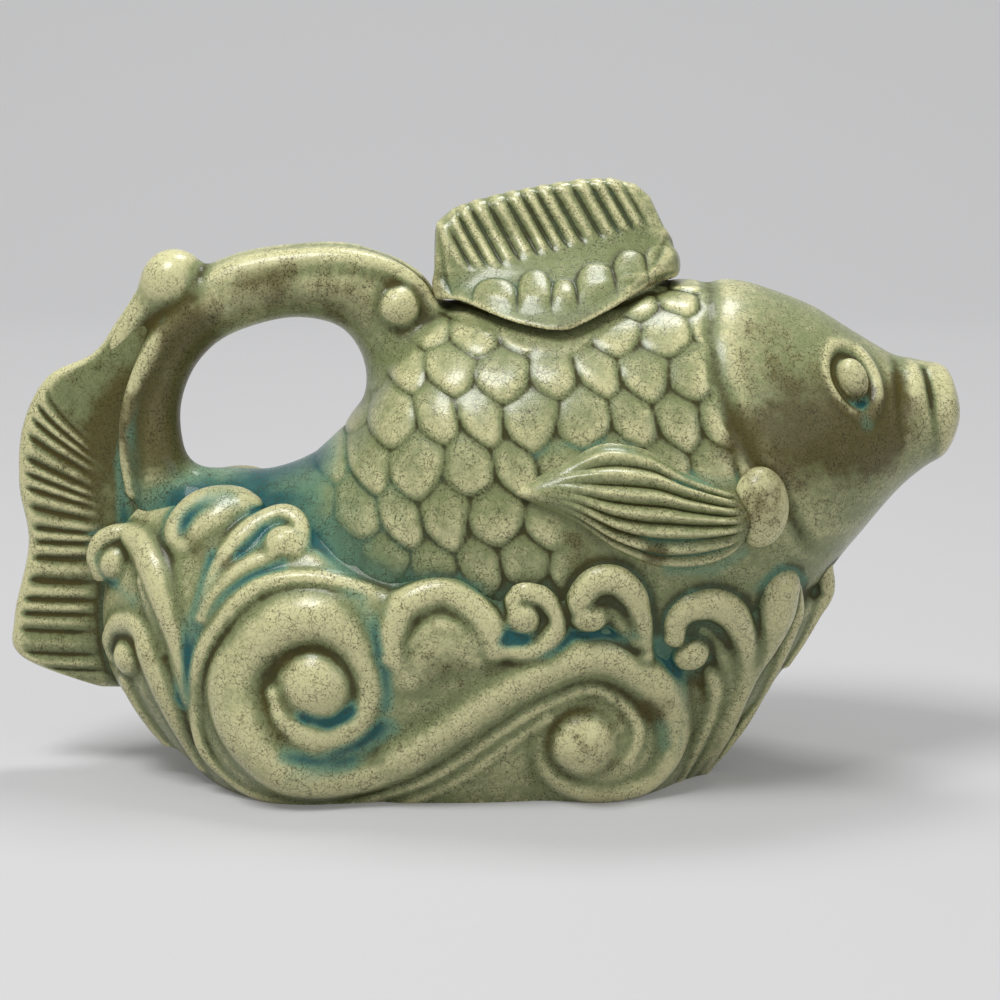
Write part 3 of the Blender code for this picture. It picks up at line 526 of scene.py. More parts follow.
def wave_strokes():
    """Every stroke and eye of the waves on one flank; an eye is a roll between one point twice."""
    strokes = []
    for rise, stations in WAVES:
        strokes.append(clay_stroke(smooth_curve(stations, WAVE_STEPS * (len(stations) - 1) + 1), rise))
    for x, z, radius, rise in WAVE_EYES:
        strokes.append(clay_stroke([(x, z, radius)] * 2, rise))
    return strokes


class ClayField:
    """Distances to a clay surface on a grid of one half, y >= 0, which is mirrored when it is meshed."""

    def __init__(self, low, high, cell):
        self.low = np.array((low[0], 0.0, low[2]))
        self.cell = cell
        counts = np.ceil((np.array(high) - self.low) / cell).astype(int) + 1
        axes = [start + cell * np.arange(count) for start, count in zip(self.low, counts)]
        self.axes = np.meshgrid(*axes, indexing="ij", sparse=True)
        self.value = np.full(counts, FAR, dtype=np.float32)

    def window(self, low, high):
        """Slices of the grid that hold a box."""
        slices = []
        for axis, (start, end) in enumerate(zip(low, high)):
            first = max(0, math.floor((start - self.low[axis]) / self.cell))
            last = math.ceil((end - self.low[axis]) / self.cell) + 1
            slices.append(slice(first, max(first + 1, min(self.value.shape[axis], last))))
        return tuple(slices)

    def places(self, part=(slice(None),) * 3):
        """x, y, z of the grid's points, in part or in all."""
        x, y, z = self.axes
        return x[part[0]], y[:, part[1]], z[:, :, part[2]]

    def add(self, distance, blend, low=None, high=None):
        """Join clay to the field, given as a function of x, y, z, inside a box."""
        part = self.window(low, high) if low is not None else (slice(None),) * 3
        self.value[part] = smooth_min(self.value[part], distance(*self.places(part)), blend)

    def carve(self, distance, blend):
        """Take clay away, given as a function of x, y, z."""
        self.value = smooth_max(self.value, -distance(*self.places()), blend)

    def add_roll(self, points, radii, blend):
        """Join a roll of clay."""
        room = radii.max() + 3 * blend + 2 * self.cell
        self.add(lambda x, y, z: roll_distance(x, y, z, points, radii), blend,
                 points.min(axis=0) - room, points.max(axis=0) + room)

    def mesh(self, name):
        """Closed mesh object of the field and its mirror image, in metres."""
        whole = np.concatenate([self.value[:, :0:-1], self.value], axis=1).astype(np.float32)
        grid = openvdb.FloatGrid(FAR)
        grid.copyFromArray(np.ascontiguousarray(whole))
        points, triangles, quads = grid.convertToPolygons(isovalue=0.0, adaptivity=0.0)
        start = self.low - (0, (self.value.shape[1] - 1) * self.cell, 0)
        points = (points * self.cell + start) * MM
        return mesh_object(name, points, [*triangles.tolist(), *quads.tolist()])


def mesh_object(name, points, faces):
    """Object at the origin with its faces turned outwards."""
    mesh = bpy.data.meshes.new(name)
    mesh.from_pydata(np.asarray(points).tolist(), [], faces)
    shape = bmesh.new()
    shape.from_mesh(mesh)
    bmesh.ops.recalc_face_normals(shape, faces=shape.faces)
    if shape.calc_volume(signed=True) < 0:
        bmesh.ops.reverse_faces(shape, faces=shape.faces)
    shape.to_mesh(mesh)
    shape.free()
    piece = bpy.data.objects.new(name, mesh)
    bpy.context.scene.collection.objects.link(piece)
    return piece


def loft(name, rings):
    """Closed mesh through rings of as many points each, in millimetres."""
    sides = len(rings[0])
    points = np.concatenate([np.asarray(ring, float) for ring in rings]) * MM
    faces = [list(range(sides)), list(range((len(rings) - 1) * sides, len(rings) * sides))]
    for row in range(len(rings) - 1):
        low, high = row * sides, (row + 1) * sides
        faces += [(low + i, low + (i + 1) % sides, high + (i + 1) % sides, high + i) for i in range(sides)]
    return mesh_object(name, points, faces)


def combine(piece, operation, *tools):
    """Join closed tools to a closed piece or cut them out of it, and remove them."""
    for tool in tools:
        modifier = piece.modifiers.new("combine", "BOOLEAN")
        modifier.operation = operation
        modifier.solver = "MANIFOLD"
        modifier.object = tool
        bake(piece)
        bpy.data.objects.remove(tool)


def bake(piece):
    """Turn what the modifiers make into the piece's own mesh."""
    depsgraph = bpy.context.evaluated_depsgraph_get()
    mesh = bpy.data.meshes.new_from_object(piece.evaluated_get(depsgraph))
    piece.modifiers.clear()
    piece.data = mesh


def carp_hollow():
    """The inside of the carp, as a solid to cut out."""
    rows = CARP[(CARP[:, 0] > HOLLOW_START) & (CARP[:, 0] < HOLLOW_END)][::HOLLOW_STEP]
    around = np.linspace(0, 2 * math.pi, HOLLOW_SIDES, endpoint=False)
    return loft("carp_hollow", [
        np.column_stack([
            np.full(HOLLOW_SIDES, x), (half_width - WALL) * np.sin(around),
            (back + belly) / 2 + ((back - belly) / 2 - WALL) * np.cos(around),
        ])
        for x, belly, back, half_width in rows
    ])


def bowl_hollow():
    """The inside of the wave bowl, as a solid to cut out."""
    around = np.linspace(0, 2 * math.pi, HOLLOW_SIDES, endpoint=False)
    rings = []
    for height in np.linspace(FLOOR, BOWL_HOLLOW_TOP, BOWL_HOLLOW_RINGS):
        middle, length, width = read_rows(BOWL, BOWL[:, 0], height)
        rings.append(np.column_stack([
            middle + (length - WALL) * np.cos(around), (width - WALL) * np.sin(around),
            np.full(HOLLOW_SIDES, height),
        ]))
    return loft("bowl_hollow", rings)


def ground_block():
    """What lies under the foot."""
    corners = [(GROUND_HALF * x, GROUND_HALF * y) for x, y in ((-1, -1), (1, -1), (1, 1), (-1, 1))]
    return loft("ground", [[(x, y, z) for x, y in corners] for z in (-GROUND_DEPTH, 0)])


def places_of(piece):
    """Vertex places in millimetres and normals, as arrays."""
    count = len(piece.data.vertices)
    places = np.empty(count * 3, np.float32)
    normals = np.empty(count * 3, np.float32)
    piece.data.vertices.foreach_get("co", places)
    piece.data.vertex_normals.foreach_get("vector", normals)
    return places.reshape(-1, 3).astype(float) / MM, normals.reshape(-1, 3).astype(float)


def flank_places(piece):
    """x, y, z of the vertices in millimetres, with both flanks laid on one."""
    x, y, z = places_of(piece)[0].T
    return x, np.abs(y), z


def flank_bead(name, radii, place, side, segments, tilt=0.0):
    """Egg of clay half sunk in a flank at x, z, leaning forwards by degrees."""
    x, z = place
    shape = bmesh.new()
    bmesh.ops.create_uvsphere(shape, u_segments=segments[0], v_segments=segments[1], radius=MM)
    bmesh.ops.scale(shape, vec=radii, verts=shape.verts)
    bmesh.ops.rotate(shape, matrix=Matrix.Rotation(-math.radians(tilt), 3, "Y"), verts=shape.verts)
    centre = Vector((x, side * float(half_width_at(x, z)), z)) * MM
    bmesh.ops.translate(shape, vec=centre, verts=shape.verts)
    mesh = bpy.data.meshes.new(name)
    shape.to_mesh(mesh)
    shape.free()
    bead = bpy.data.objects.new(name, mesh)
    bpy.context.scene.collection.objects.link(bead)
    return bead


def raise_skin(piece, heights):
    """Move the skin along its normals, in millimetres."""
    places, normals = places_of(piece)
    moved = (places + normals * heights[:, None]) * MM
    piece.data.vertices.foreach_set("co", moved.astype(np.float32).ravel())
    piece.data.update()


def set_values(piece, name, values):
    """Keep one number for each vertex, for node trees to read."""
    layer = piece.data.attributes.get(name) or piece.data.attributes.new(name, "FLOAT", "POINT")
    layer.data.foreach_set("value", np.asarray(values, np.float32))


def stand_out(piece, rounds):
    """How far each vertex stands out from the mean of its surroundings, in millimetres."""
    places, normals = places_of(piece)
    count = len(places)
    edges = np.empty(len(piece.data.edges) * 2, np.int32)
    piece.data.edges.foreach_get("vertices", edges)
    one, two = edges.reshape(-1, 2).T
    degree = np.maximum(np.bincount(one, minlength=count) + np.bincount(two, minlength=count), 1)
    mean = places.copy()
    for _ in range(rounds):
        for axis in range(3):
            column = mean[:, axis]
            total = np.bincount(one, column[two], count) + np.bincount(two, column[one], count)
            mean[:, axis] = (column + total / degree) / 2
    return ((places - mean) * normals).sum(axis=1)


class Value:
    """One output in a node tree; arithmetic on it adds Math nodes."""

    def __init__(self, nodes, socket):
        self.nodes = nodes
        self.socket = socket

    def math(self, operation, *others):
        return self.nodes.make("ShaderNodeMath", {"operation": operation}, dict(enumerate((self, *others))))

    def __add__(self, other):
        return self.math("ADD", other)

    def __sub__(self, other):
        return self.math("SUBTRACT", other)

    def __mul__(self, other):
        return self.math("MULTIPLY", other)

    def __truediv__(self, other):
        return self.math("DIVIDE", other)

    def __rsub__(self, other):
        return self.nodes.make("ShaderNodeMath", {"operation": "SUBTRACT"}, {0: other, 1: self})

    __radd__ = __add__
    __rmul__ = __mul__

    def clamp(self):
        return self.nodes.make("ShaderNodeClamp", {}, {"Value": self})

    def ramp(self, low, high):
        """0 at low, 1 at high, smooth between."""
        return self.nodes.make("ShaderNodeMapRange", {"interpolation_type": "SMOOTHSTEP"}, {
            "Value": self, "From Min": low, "From Max": high})


class Nodes:
    """A node tree that is written as expressions."""

    def __init__(self, tree):
        self.tree = tree

    def make(self, kind, settings, sockets, output=0):
        """Add a node: its settings first, then the values or links of its sockets."""
        node = self.tree.nodes.new(kind)
        for name, setting in settings.items():
            setattr(node, name, setting)
        for key, value in sockets.items():
            if isinstance(value, Value):
                self.tree.links.new(value.socket, node.inputs[key])
            else:
                node.inputs[key].default_value = value
        return Value(self, node.outputs[output])

    def mix(self, factor, one, other):
        """Colour between two colours."""
        return self.make("ShaderNodeMix", {"data_type": "RGBA"}, {0: factor, 6: one, 7: other}, 2)

    def attribute(self, name):
        """A number that is kept on the vertices."""
        return self.make("ShaderNodeAttribute", {"attribute_name": name}, {}, 2)


def geometry_tree(name, numbers):
    """A Geometry Nodes tree with a mesh, a glaze and named numbers as inputs."""
    tree = bpy.data.node_groups.new(name, "GeometryNodeTree")
    tree.interface.new_socket("Mesh", in_out="INPUT", socket_type="NodeSocketGeometry")
    tree.interface.new_socket("Glaze", in_out="INPUT", socket_type="NodeSocketMaterial")
    for label, number in numbers.items():
        socket = tree.interface.new_socket(label, in_out="INPUT", socket_type="NodeSocketFloat")
        socket.default_value = number
    tree.interface.new_socket("Mesh", in_out="OUTPUT", socket_type="NodeSocketGeometry")
    nodes = Nodes(tree)
    entry = tree.nodes.new("NodeGroupInput")
    return nodes, {socket.name: Value(nodes, socket) for socket in entry.outputs if socket.name}


def kept(nodes, name):
    """A number that is kept on the vertices."""
    return nodes.make("GeometryNodeInputNamedAttribute", {"data_type": "FLOAT"}, {"Name": name})


def close_relief_tree(nodes, given, height):
    """Raise the mesh along its normals by a height in millimetres, and end the tree."""
    normal = nodes.make("GeometryNodeInputNormal", {}, {})
    offset = nodes.make("ShaderNodeVectorMath", {"operation": "SCALE"}, {0: normal, "Scale": height * MM})
    mesh = nodes.make("GeometryNodeSetPosition", {}, {"Geometry": given["Mesh"], "Offset": offset})
    mesh = nodes.make("GeometryNodeRealizeInstances", {}, {"Geometry": mesh})
    mesh = nodes.make("GeometryNodeSetMaterial", {}, {"Geometry": mesh, "Material": given["Glaze"]})
    end = nodes.tree.nodes.new("NodeGroupOutput")
    nodes.tree.links.new(mesh.socket, end.inputs["Mesh"])
    return nodes.tree


def scale_tree():
    """Overlapping scales on a lattice along and round the flank, each tilted up towards its free end."""
    nodes, given = geometry_tree("Scales", {
        "Pitch": 11.4, "Row Pitch": 11.8, "Row Shift": -0.36, "Half Length": 9.0, "Half Width": 6.4,
        "Height": 1.4, "Free End Along": 0.26, "Free End Round": 0.966})
    pitch, row_pitch, shift = given["Pitch"], given["Row Pitch"], given["Row Shift"]
    along, around = kept(nodes, "along"), kept(nodes, "around")
    first_row = (around / row_pitch).math("FLOOR")
    tallest = None
    for row_step in (-1, 0, 1):
        row = first_row + row_step
        start = row * shift * pitch
        first_column = ((along - start) / pitch).math("FLOOR")
        for column_step in (0, 1):
            ahead = along - start - (first_column + column_step) * pitch
            down = around - (row + 0.5) * row_pitch
            length = (ahead * given["Free End Along"] + down * given["Free End Round"]) / given["Half Length"]
            width = (down * given["Free End Along"] - ahead * given["Free End Round"]) / given["Half Width"]
            spread = length.math("ABSOLUTE").math("POWER", SCALE_END_POWER)
            spread = spread + width.math("ABSOLUTE").math("POWER", SCALE_SIDE_POWER)
            dome = (1 - spread.math("POWER", SCALE_EDGE_POWER)).clamp()
            dome = dome * (SCALE_MIDDLE + length * SCALE_TILT)
            tallest = dome if tallest is None else tallest.math("MAXIMUM", dome)
    height = (tallest - SCALE_LEVEL) * given["Height"] * kept(nodes, "scale_share")
    return close_relief_tree(nodes, given, height)


def rib_tree():
    """Round ribs with narrow grooves, counted by a number on the vertices."""
    nodes, given = geometry_tree("Ribs", {"Height": 1.0, "Level": 0.6, "Roundness": 2.6})
    place = kept(nodes, "rib")
    swing = ((place - place.math("FLOOR")) * 2 - 1).math("ABSOLUTE")
    crest = 1 - swing.math("POWER", given["Roundness"])
    height = (crest - given["Level"]) * given["Height"] * kept(nodes, "rib_share")
    return close_relief_tree(nodes, given, height)


def apply_tree(piece, tree, glaze, **numbers):
    """Run a Geometry Nodes tree on the piece and keep the result as its mesh."""
    modifier = piece.modifiers.new(tree.name, "NODES")
    modifier.node_group = tree
    inputs = {item.name: item.identifier for item in tree.interface.items_tree if item.in_out == "INPUT"}
    modifier[inputs["Glaze"]] = glaze
    for label, number in numbers.items():
        modifier[inputs[label]] = number
    bake(piece)


def linear(code):
    """Linear colour of a hex code as it is seen."""
    parts = [int(code[place:place + 2], 16) / 255 for place in (0, 2, 4)]
    return [part / 12.92 if part <= 0.04045 else ((part + 0.055) / 1.055)**2.4 for part in parts]


def colour(label, code, note):
    """A colour that a user may change."""
    return FloatVectorProperty(name=label, description=note, subtype="COLOR", size=3, min=0, max=1,
                               default=linear(code))


class PotSizes(bpy.types.PropertyGroup):
    """Fineness and relief of the clay, in millimetres."""

    skin_cell: FloatProperty(name="Skin cell", description="Grid cell of the carp", default=0.68, min=0.4)
    wave_cell: FloatProperty(name="Wave cell", description="Grid cell of the waves", default=0.62, min=0.4)
    lid_cell: FloatProperty(name="Lid cell", description="Grid cell of the lid", default=0.42, min=0.3)
    scale_height: FloatProperty(name="Scale height", description="Relief of a scale", default=1.4, min=0)
    scale_pitch: FloatProperty(name="Scale pitch", description="Between scales", default=11.4, min=4)
    tail_rib: FloatProperty(name="Tail rib", description="Relief of the tail's ribs", default=0.75, min=0)
    tail_rib_pitch: FloatProperty(name="Tail rib pitch", description="Between ribs", default=4.6, min=1)
    side_fin_rib: FloatProperty(name="Side fin rib", description="Relief of the ribs", default=1.8, min=0)
    side_fin_ribs: IntProperty(name="Side fin ribs", description="Number of ribs", default=7, min=2)
    dorsal_rib: FloatProperty(name="Dorsal rib", description="Relief of the lid's ribs", default=1.0, min=0)
    dorsal_rib_pitch: FloatProperty(name="Dorsal rib pitch", description="Between ribs", default=4.5, min=1)


class GlazeColours(bpy.types.PropertyGroup):
    """Colours of the glaze where it is thin, even, pooled or stained."""

    # Cream is thin glaze on ridges and also a painted highlight there; olive is glaze pooled in creases and
    # also painted shade there
    cream: colour("Cream", "D3D09F", "Thin glaze on ridges")
    sage: colour("Sage", "838C60", "Even glaze")
    olive: colour("Olive", "38370F", "Creases")
    # Brown is for real stains and also painted shade in creases and on the lid's rim next to the body
    brown: colour("Brown", "4C410A", "Warm stain")
    teal: colour("Teal", "17595B", "Deep pools")
    sea: colour("Sea green", "6A9980", "Shallow pools")
    iron: colour("Iron", "2A2415", "Specks")
    crackle_size: FloatProperty(name="Crackle", description="Size of a cell in mm", default=2.6, min=0.5)
    gloss: FloatProperty(name="Roughness", description="Roughness of the glaze", default=0.28, min=0, max=1)


def glaze(name, colours, thin=0.5, warmth=0.0, green=0.0):
    """Celadon glaze: pale where it runs thin and as a painted highlight on ridges, olive in creases from
    pooled glaze and painted shade, teal in pools, crackled and specked.
    """
    material = bpy.data.materials.new(name)
    material.use_nodes = True
    tree = material.node_tree
    nodes = Nodes(tree)
    shader = tree.nodes["Principled BSDF"]
    place = nodes.make("ShaderNodeTexCoord", {}, {}, "Object")

    def noise(size, detail=2.0, output="Fac"):
        return nodes.make("ShaderNodeTexNoise", {}, {
            "Vector": place, "Scale": 1 / (size * MM), "Detail": detail, "Roughness": 0.6}, output)

    def rgba(values):
        return (*values, 1.0)

    relief, pool, warm = (nodes.attribute(label) for label in ("relief", "pool", "warm"))
    cloud, patch, dapple = noise(CLOUD_SIZE, 3), noise(PATCH_SIZE, 3), noise(DAPPLE_SIZE, 3)
    grain = noise(GRAIN_SIZE, 2)
    # Relief turns ridges cream and creases olive: partly thin and pooled glaze, partly painted highlight and
    # painted shade
    thinness_and_shading = thin + relief * 0.9 + (patch - 0.5) * 0.55 + (cloud - 0.5) * 0.5 + (dapple - 0.5) * 0.5
    body = nodes.mix(thinness_and_shading.ramp(-0.15, 0.5), rgba(colours.olive), rgba(colours.sage))
    body = nodes.mix(thinness_and_shading.ramp(0.45, 1.15), body, rgba(colours.cream))
    # Brown stains, plus painted shade: browner in creases and on the lid's rim next to the body
    stain_and_shade = (warmth + warm + (cloud - 0.5) * 0.8 + (patch - 0.5) * 1.0 - relief * 0.25).ramp(0.25, 0.85)
    body = nodes.mix(stain_and_shade * 0.85, body, rgba(colours.brown))
    wet = pool + green + (patch - 0.5) * 0.3 + (cloud - 0.5) * 0.35 - relief * 0.12
    body = nodes.mix(wet.ramp(0.12, 0.6) * 0.7, body, rgba(colours.sea))
    body = nodes.mix(wet.ramp(0.45, 0.95), body, rgba(colours.teal))
    soot = grain.ramp(0.5, 0.66) * (0.3 + patch.ramp(0.35, 0.65) * 0.45 + stain_and_shade * 0.25)
    body = nodes.mix(soot, body, rgba(colours.olive))
    warped = nodes.make("ShaderNodeVectorMath", {"operation": "MULTIPLY_ADD"}, {
        0: noise(CRACK_WARP_SIZE, 2, "Color"), 1: (CRACK_WARP * MM,) * 3, 2: place})
    crack = nodes.make("ShaderNodeTexVoronoi", {"feature": "DISTANCE_TO_EDGE"}, {
        "Vector": warped, "Scale": 1 / (colours.crackle_size * MM)})
    craze = (1 - crack.ramp(0.0, 0.045)) * patch.ramp(0.3, 0.6)
    body = nodes.mix(craze * 0.55, body, rgba(colours.olive))
    fleck = nodes.make("ShaderNodeTexVoronoi", {"feature": "F1"}, {
        "Vector": place, "Scale": 1 / (SPECK_SIZE * MM)})
    middle = Value(nodes, fleck.socket.node.outputs["Position"])
    chosen = nodes.make("ShaderNodeTexWhiteNoise", {}, {"Vector": middle})
    speck = (1 - fleck.ramp(0.03, 0.1)) * chosen.ramp(0.72, 0.76)
    body = nodes.mix(speck * 0.8, body, rgba(colours.iron))
    tree.links.new(body.socket, shader.inputs["Base Color"])
    rough = colours.gloss + (patch - 0.5) * 0.12 + (grain - 0.5) * 0.16
    rough = rough + (0 - relief).ramp(0.05, 0.6) * 0.4 + warm.ramp(0.0, 0.5) * 0.12
    tree.links.new(rough.socket, shader.inputs["Roughness"])
    height = (grain - 0.5) * 0.35 + (patch - 0.5) * 0.6 - craze * 0.15 - speck * 0.3
    dimple = nodes.make("ShaderNodeBump", {}, {
        "Strength": 0.35, "Distance": DIMPLE_DEPTH * MM, "Height": height})
    tree.links.new(dimple.socket, shader.inputs["Normal"])
    shader.inputs["Specular IOR Level"].default_value = 0.3
    shader.inputs["Coat Weight"].default_value = 0.2
    shader.inputs["Coat Roughness"].default_value = 0.12
    return material


def stained(x, z):
    """Sum of the soft brown spots seen from the side."""
    return sum(share * bump(np.hypot(x - spot_x, z - spot_z), radius)
               for spot_x, spot_z, radius, share in STAINS)


def pooled(x, z):
    """The strongest of the pools at each place, seen from the side."""
    strongest = np.zeros(len(x))
    for radius, share, line in POOLS:
        points = [(line_x, 0, line_z) for line_x, line_z in line]
        away = roll_distance(x, 0, z, points, [0] * len(points))
        strongest = np.maximum(strongest, share * bump(away, radius))
    return strongest


def finish_piece(piece, material, body, nodes, pool=0.0, warm=0.0, crease=0.0):
    """Measure the skin for the glaze, give it its material and hand it to the frame."""
    x, _, z = flank_places(piece)
    fine, middle, broad = (np.clip(stand_out(piece, rounds) / full, -1, 1)
                           for rounds, full in STAND_OUT_SCALES)
    hollow = np.clip(-1.5 * middle, 0, 1) - np.clip(middle, 0, 1)
    # Relief less the seam crease: low values paint hollows and the seam olive, partly as painted shade
    set_values(piece, "relief", 0.35 * fine + 0.7 * middle + 0.4 * broad - crease)
    set_values(piece, "pool", pool + pooled(x, z) * (0.5 + 0.5 * hollow))
    set_values(piece, "warm", warm + stained(x, z))
    for name in ("along", "around", "scale_share", "rib", "rib_share"):
        layer = piece.data.attributes.get(name)
        if layer:
            piece.data.attributes.remove(layer)
    piece.data.materials.clear()
    piece.data.materials.append(material)
    piece.data.shade_smooth()
    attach(piece, body)
    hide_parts(*nodes)


def handle_distance(x, y, z):
    """Distance to the handle with its knuckle and curl."""
    stations = smooth_curve(HANDLE_STATIONS, HANDLE_STEPS)
    loop = np.column_stack([stations[:, 0], np.zeros(HANDLE_STEPS), stations[:, 1]])
    tube = roll_distance(x, y, z, loop, stations[:, 2])
    knuckle = ball_distance(x, y, z, HANDLE_KNUCKLE, (HANDLE_KNUCKLE_RADIUS,) * 3)
    tube = smooth_min(tube, knuckle, KNUCKLE_BLEND)
    return smooth_min(tube, ball_distance(x, y, z, HANDLE_CURL, (HANDLE_CURL_RADIUS,) * 3), CURL_BLEND)


def wave_distance(x, y, z):
    """Distance to the waves at vertices, all on one flank."""
    nearest = bowl_distance(x, y, z) - BOWL_GROWTH
    places = np.column_stack([x, y, z])
    for points, radii in wave_strokes():
        room = radii.max() + WAVE_ROOM
        near = np.all((places > points.min(axis=0) - room) & (places < points.max(axis=0) + room), axis=1)
        nearest[near] = np.minimum(nearest[near], roll_distance(x[near], y[near], z[near], points, radii))
    return nearest


def past_gill(x, z):
    """How far ahead of the gill groove a place is."""
    line = np.array(GILL_LINE, float)[::-1]
    return x - np.interp(z, line[:, 1], line[:, 0])


def head_relief(x, y, z):
    """Gill, eye socket, snout and lips, in millimetres."""
    ahead = past_gill(x, z)
    on_head = fade(x, 30, 45) * fade(z, 58, 66)
    relief = on_head * (0.6 * bump(ahead - 8, 8) - 0.8 * bump(ahead, 2.8))
    eye_x, eye_z = x - EYE_PLACE[0], z - EYE_PLACE[1]
    ring = np.hypot(eye_x + 0.3 * eye_z, eye_z / 1.35)
    lids = 0.3 + 0.7 * fade(eye_x - 0.3 * eye_z, -1, 4) + 0.6 * bump(np.hypot(eye_x + 4, eye_z + 5), 4)
    lids = lids * (1 - 0.9 * bump(np.hypot(eye_x - 2.5, eye_z + 8.5), 3.5))
    relief = relief + lids * bump(ring - EYE_RING_RADIUS, 1.2) - 1.2 * bump(ring - EYE_SOCKET_RADIUS, 1.2)
    lip_x, lip_z, lip_length, lip_height = UPPER_LIP
    relief = relief + bump(np.hypot((x - lip_x) / lip_length, (z - lip_z) / lip_height), 1.0)
    cheek = fade(y, 3.5, 7) * bump(z - 97, 8) * fade(x, 96, 100)
    snout = 0.7 * bump(x - SNOUT_GROOVE_X, 1.6)
    mouth = 0.7 * bump(x - MOUTH_GROOVE_X + 0.12 * (z - 95), 1.2)
    return relief - cheek * (snout + mouth)


class TEAPOT_OT_carp(bpy.types.Operator):
    """Build the carp's skin with its handle, scales, gills and mouth."""

    bl_idname = "teapot.carp"
    bl_label = "Carp Skin"

    def execute(self, context):
        sizes, colours = context.scene.pot_sizes, context.scene.glaze_colours
        field = ClayField(*CARP_FIELD, sizes.skin_cell)
        field.add(carp_distance, SHARP)
        lip_half = [half + LIP_WIDTH for half in MOUTH_HALF]

        def lip(x, y, z):
            post = np.maximum(oval_distance(x, y, lip_half), FLANGE_BOTTOM - z)
            return smooth_max(carp_distance(x, y, z, LIP_HEIGHT), post, LIP_ROUNDING)

        def mouth(x, y, z):
            return np.maximum(oval_distance(x, y, MOUTH_HALF), FLANGE_BOTTOM - WALL - z)

        def spout(x, y, z):
            return roll_distance(x, y, z, [SPOUT_INNER, SPOUT_OUTER], [SPOUT_RADIUS] * 2)

        field.add(lip, LIP_BLEND, *LIP_FIELD)
        field.add(handle_distance, HANDLE_BLEND, *HANDLE_FIELD)
        for ridge in (TAIL_RIDGE, TAIL_STALK, HANDLE_CREST):
            rows = smooth_curve(ridge, RIDGE_STEPS)
            field.add_roll(rows[:, :3], rows[:, 3], RIDGE_BLEND)
        field.carve(mouth, MOUTH_ROUNDING)
        field.carve(spout, SPOUT_ROUNDING)
        piece = field.mesh("carp_skin")
        x, y, z = flank_places(piece)
        turn = np.arcsin(np.clip((z - FLANK_MIDDLE) / FLANK_HALF[1], -1, 1))
        around = -sum(FLANK_HALF) / 2 * turn - (FLANK_HALF[1] - FLANK_HALF[0]) / 4 * np.sin(2 * turn)
        ahead = past_gill(x, z)
        rim = cap_reach(x, y)[0]
        skin = 1 - fade(np.abs(carp_distance(x, y, z)), 1, 3)
        share = skin * fade(-ahead, 1.2, 3.6) * fade(x, -46, -32) * fade(handle_distance(x, y, z), 2, 8)
        share = share * (1 - fade(x, 14, 22) * fade(82 - z, 0, 6))
        share = share * np.where(z > 95, fade(rim, 0.92, 1.02), 1)
        raise_skin(piece, skin * head_relief(x, y, z))
        set_values(piece, "along", x + SCALE_WOBBLE[0] * np.sin(0.21 * z + 0.13 * x))
        set_values(piece, "around", around + SCALE_WOBBLE[1] * np.sin(0.17 * x + 0.1 * z))
        set_values(piece, "scale_share", share)
        material = glaze("carp_glaze", colours, thin=0.54)
        apply_tree(piece, scale_tree(), material, Pitch=sizes.scale_pitch, Height=sizes.scale_height)
        combine(piece, "DIFFERENCE", carp_hollow(), bowl_hollow())
        x, y, z = flank_places(piece)
        seam = wave_distance(x, y, z)
        # Crease along the seam with the waves: pooled teal, and through the relief painted shade
        crease = bump(np.maximum(seam, 0), 2.2)
        pool = 0.15 * crease + 0.24 * fade(-x, -10, 25) * fade(100 - z, 0, 25)
        finish_piece(piece, material, "pot", ("fish_body", "handle"), pool, 0.0, crease)
        return {"FINISHED"}


class TEAPOT_OT_waves(bpy.types.Operator):
    """Build the wave bowl with its scrolls."""

    bl_idname = "teapot.waves"
    bl_label = "Waves"

    def execute(self, context):
        sizes, colours = context.scene.pot_sizes, context.scene.glaze_colours
        field = ClayField(*WAVE_FIELD, sizes.wave_cell)
        field.add(bowl_distance, SHARP)
        x, y, z = field.places()
        field.value += SEAM_DEPTH * bump(carp_distance(x, y, z), SEAM_WIDTH) - BOWL_GROWTH
        for points, radii in wave_strokes():
            field.add_roll(points, radii, WAVE_BLEND)
        field.value = np.maximum(field.value, -FOOT_DEPTH - z)
        piece = field.mesh("wave_skin")
        combine(piece, "DIFFERENCE", carp_hollow(), bowl_hollow(), ground_block())
        x, y, z = flank_places(piece)
        seam = np.maximum(carp_distance(x, y, z), 0)
        material = glaze("wave_glaze", colours, thin=0.66, warmth=0.06)
        # Crease along the seam with the carp: pooled teal, and through the relief painted shade
        crease = bump(seam, 1.6)
        finish_piece(piece, material, "pot", ("wave_base",), 0.15 * crease, 0.0, 0.8 * crease)
        return {"FINISHED"}


def plate(name, rows):
    """Closed plate from a grid of x, z, half thickness, mirrored about the middle plane."""
    rings = []
    for row in rows:
        front = [(x, -half, z) for x, z, half in row]
        rear = [(x, half, z) for x, z, half in row[::-1]]
        rings.append(front + rear)
    return loft(name, rings)


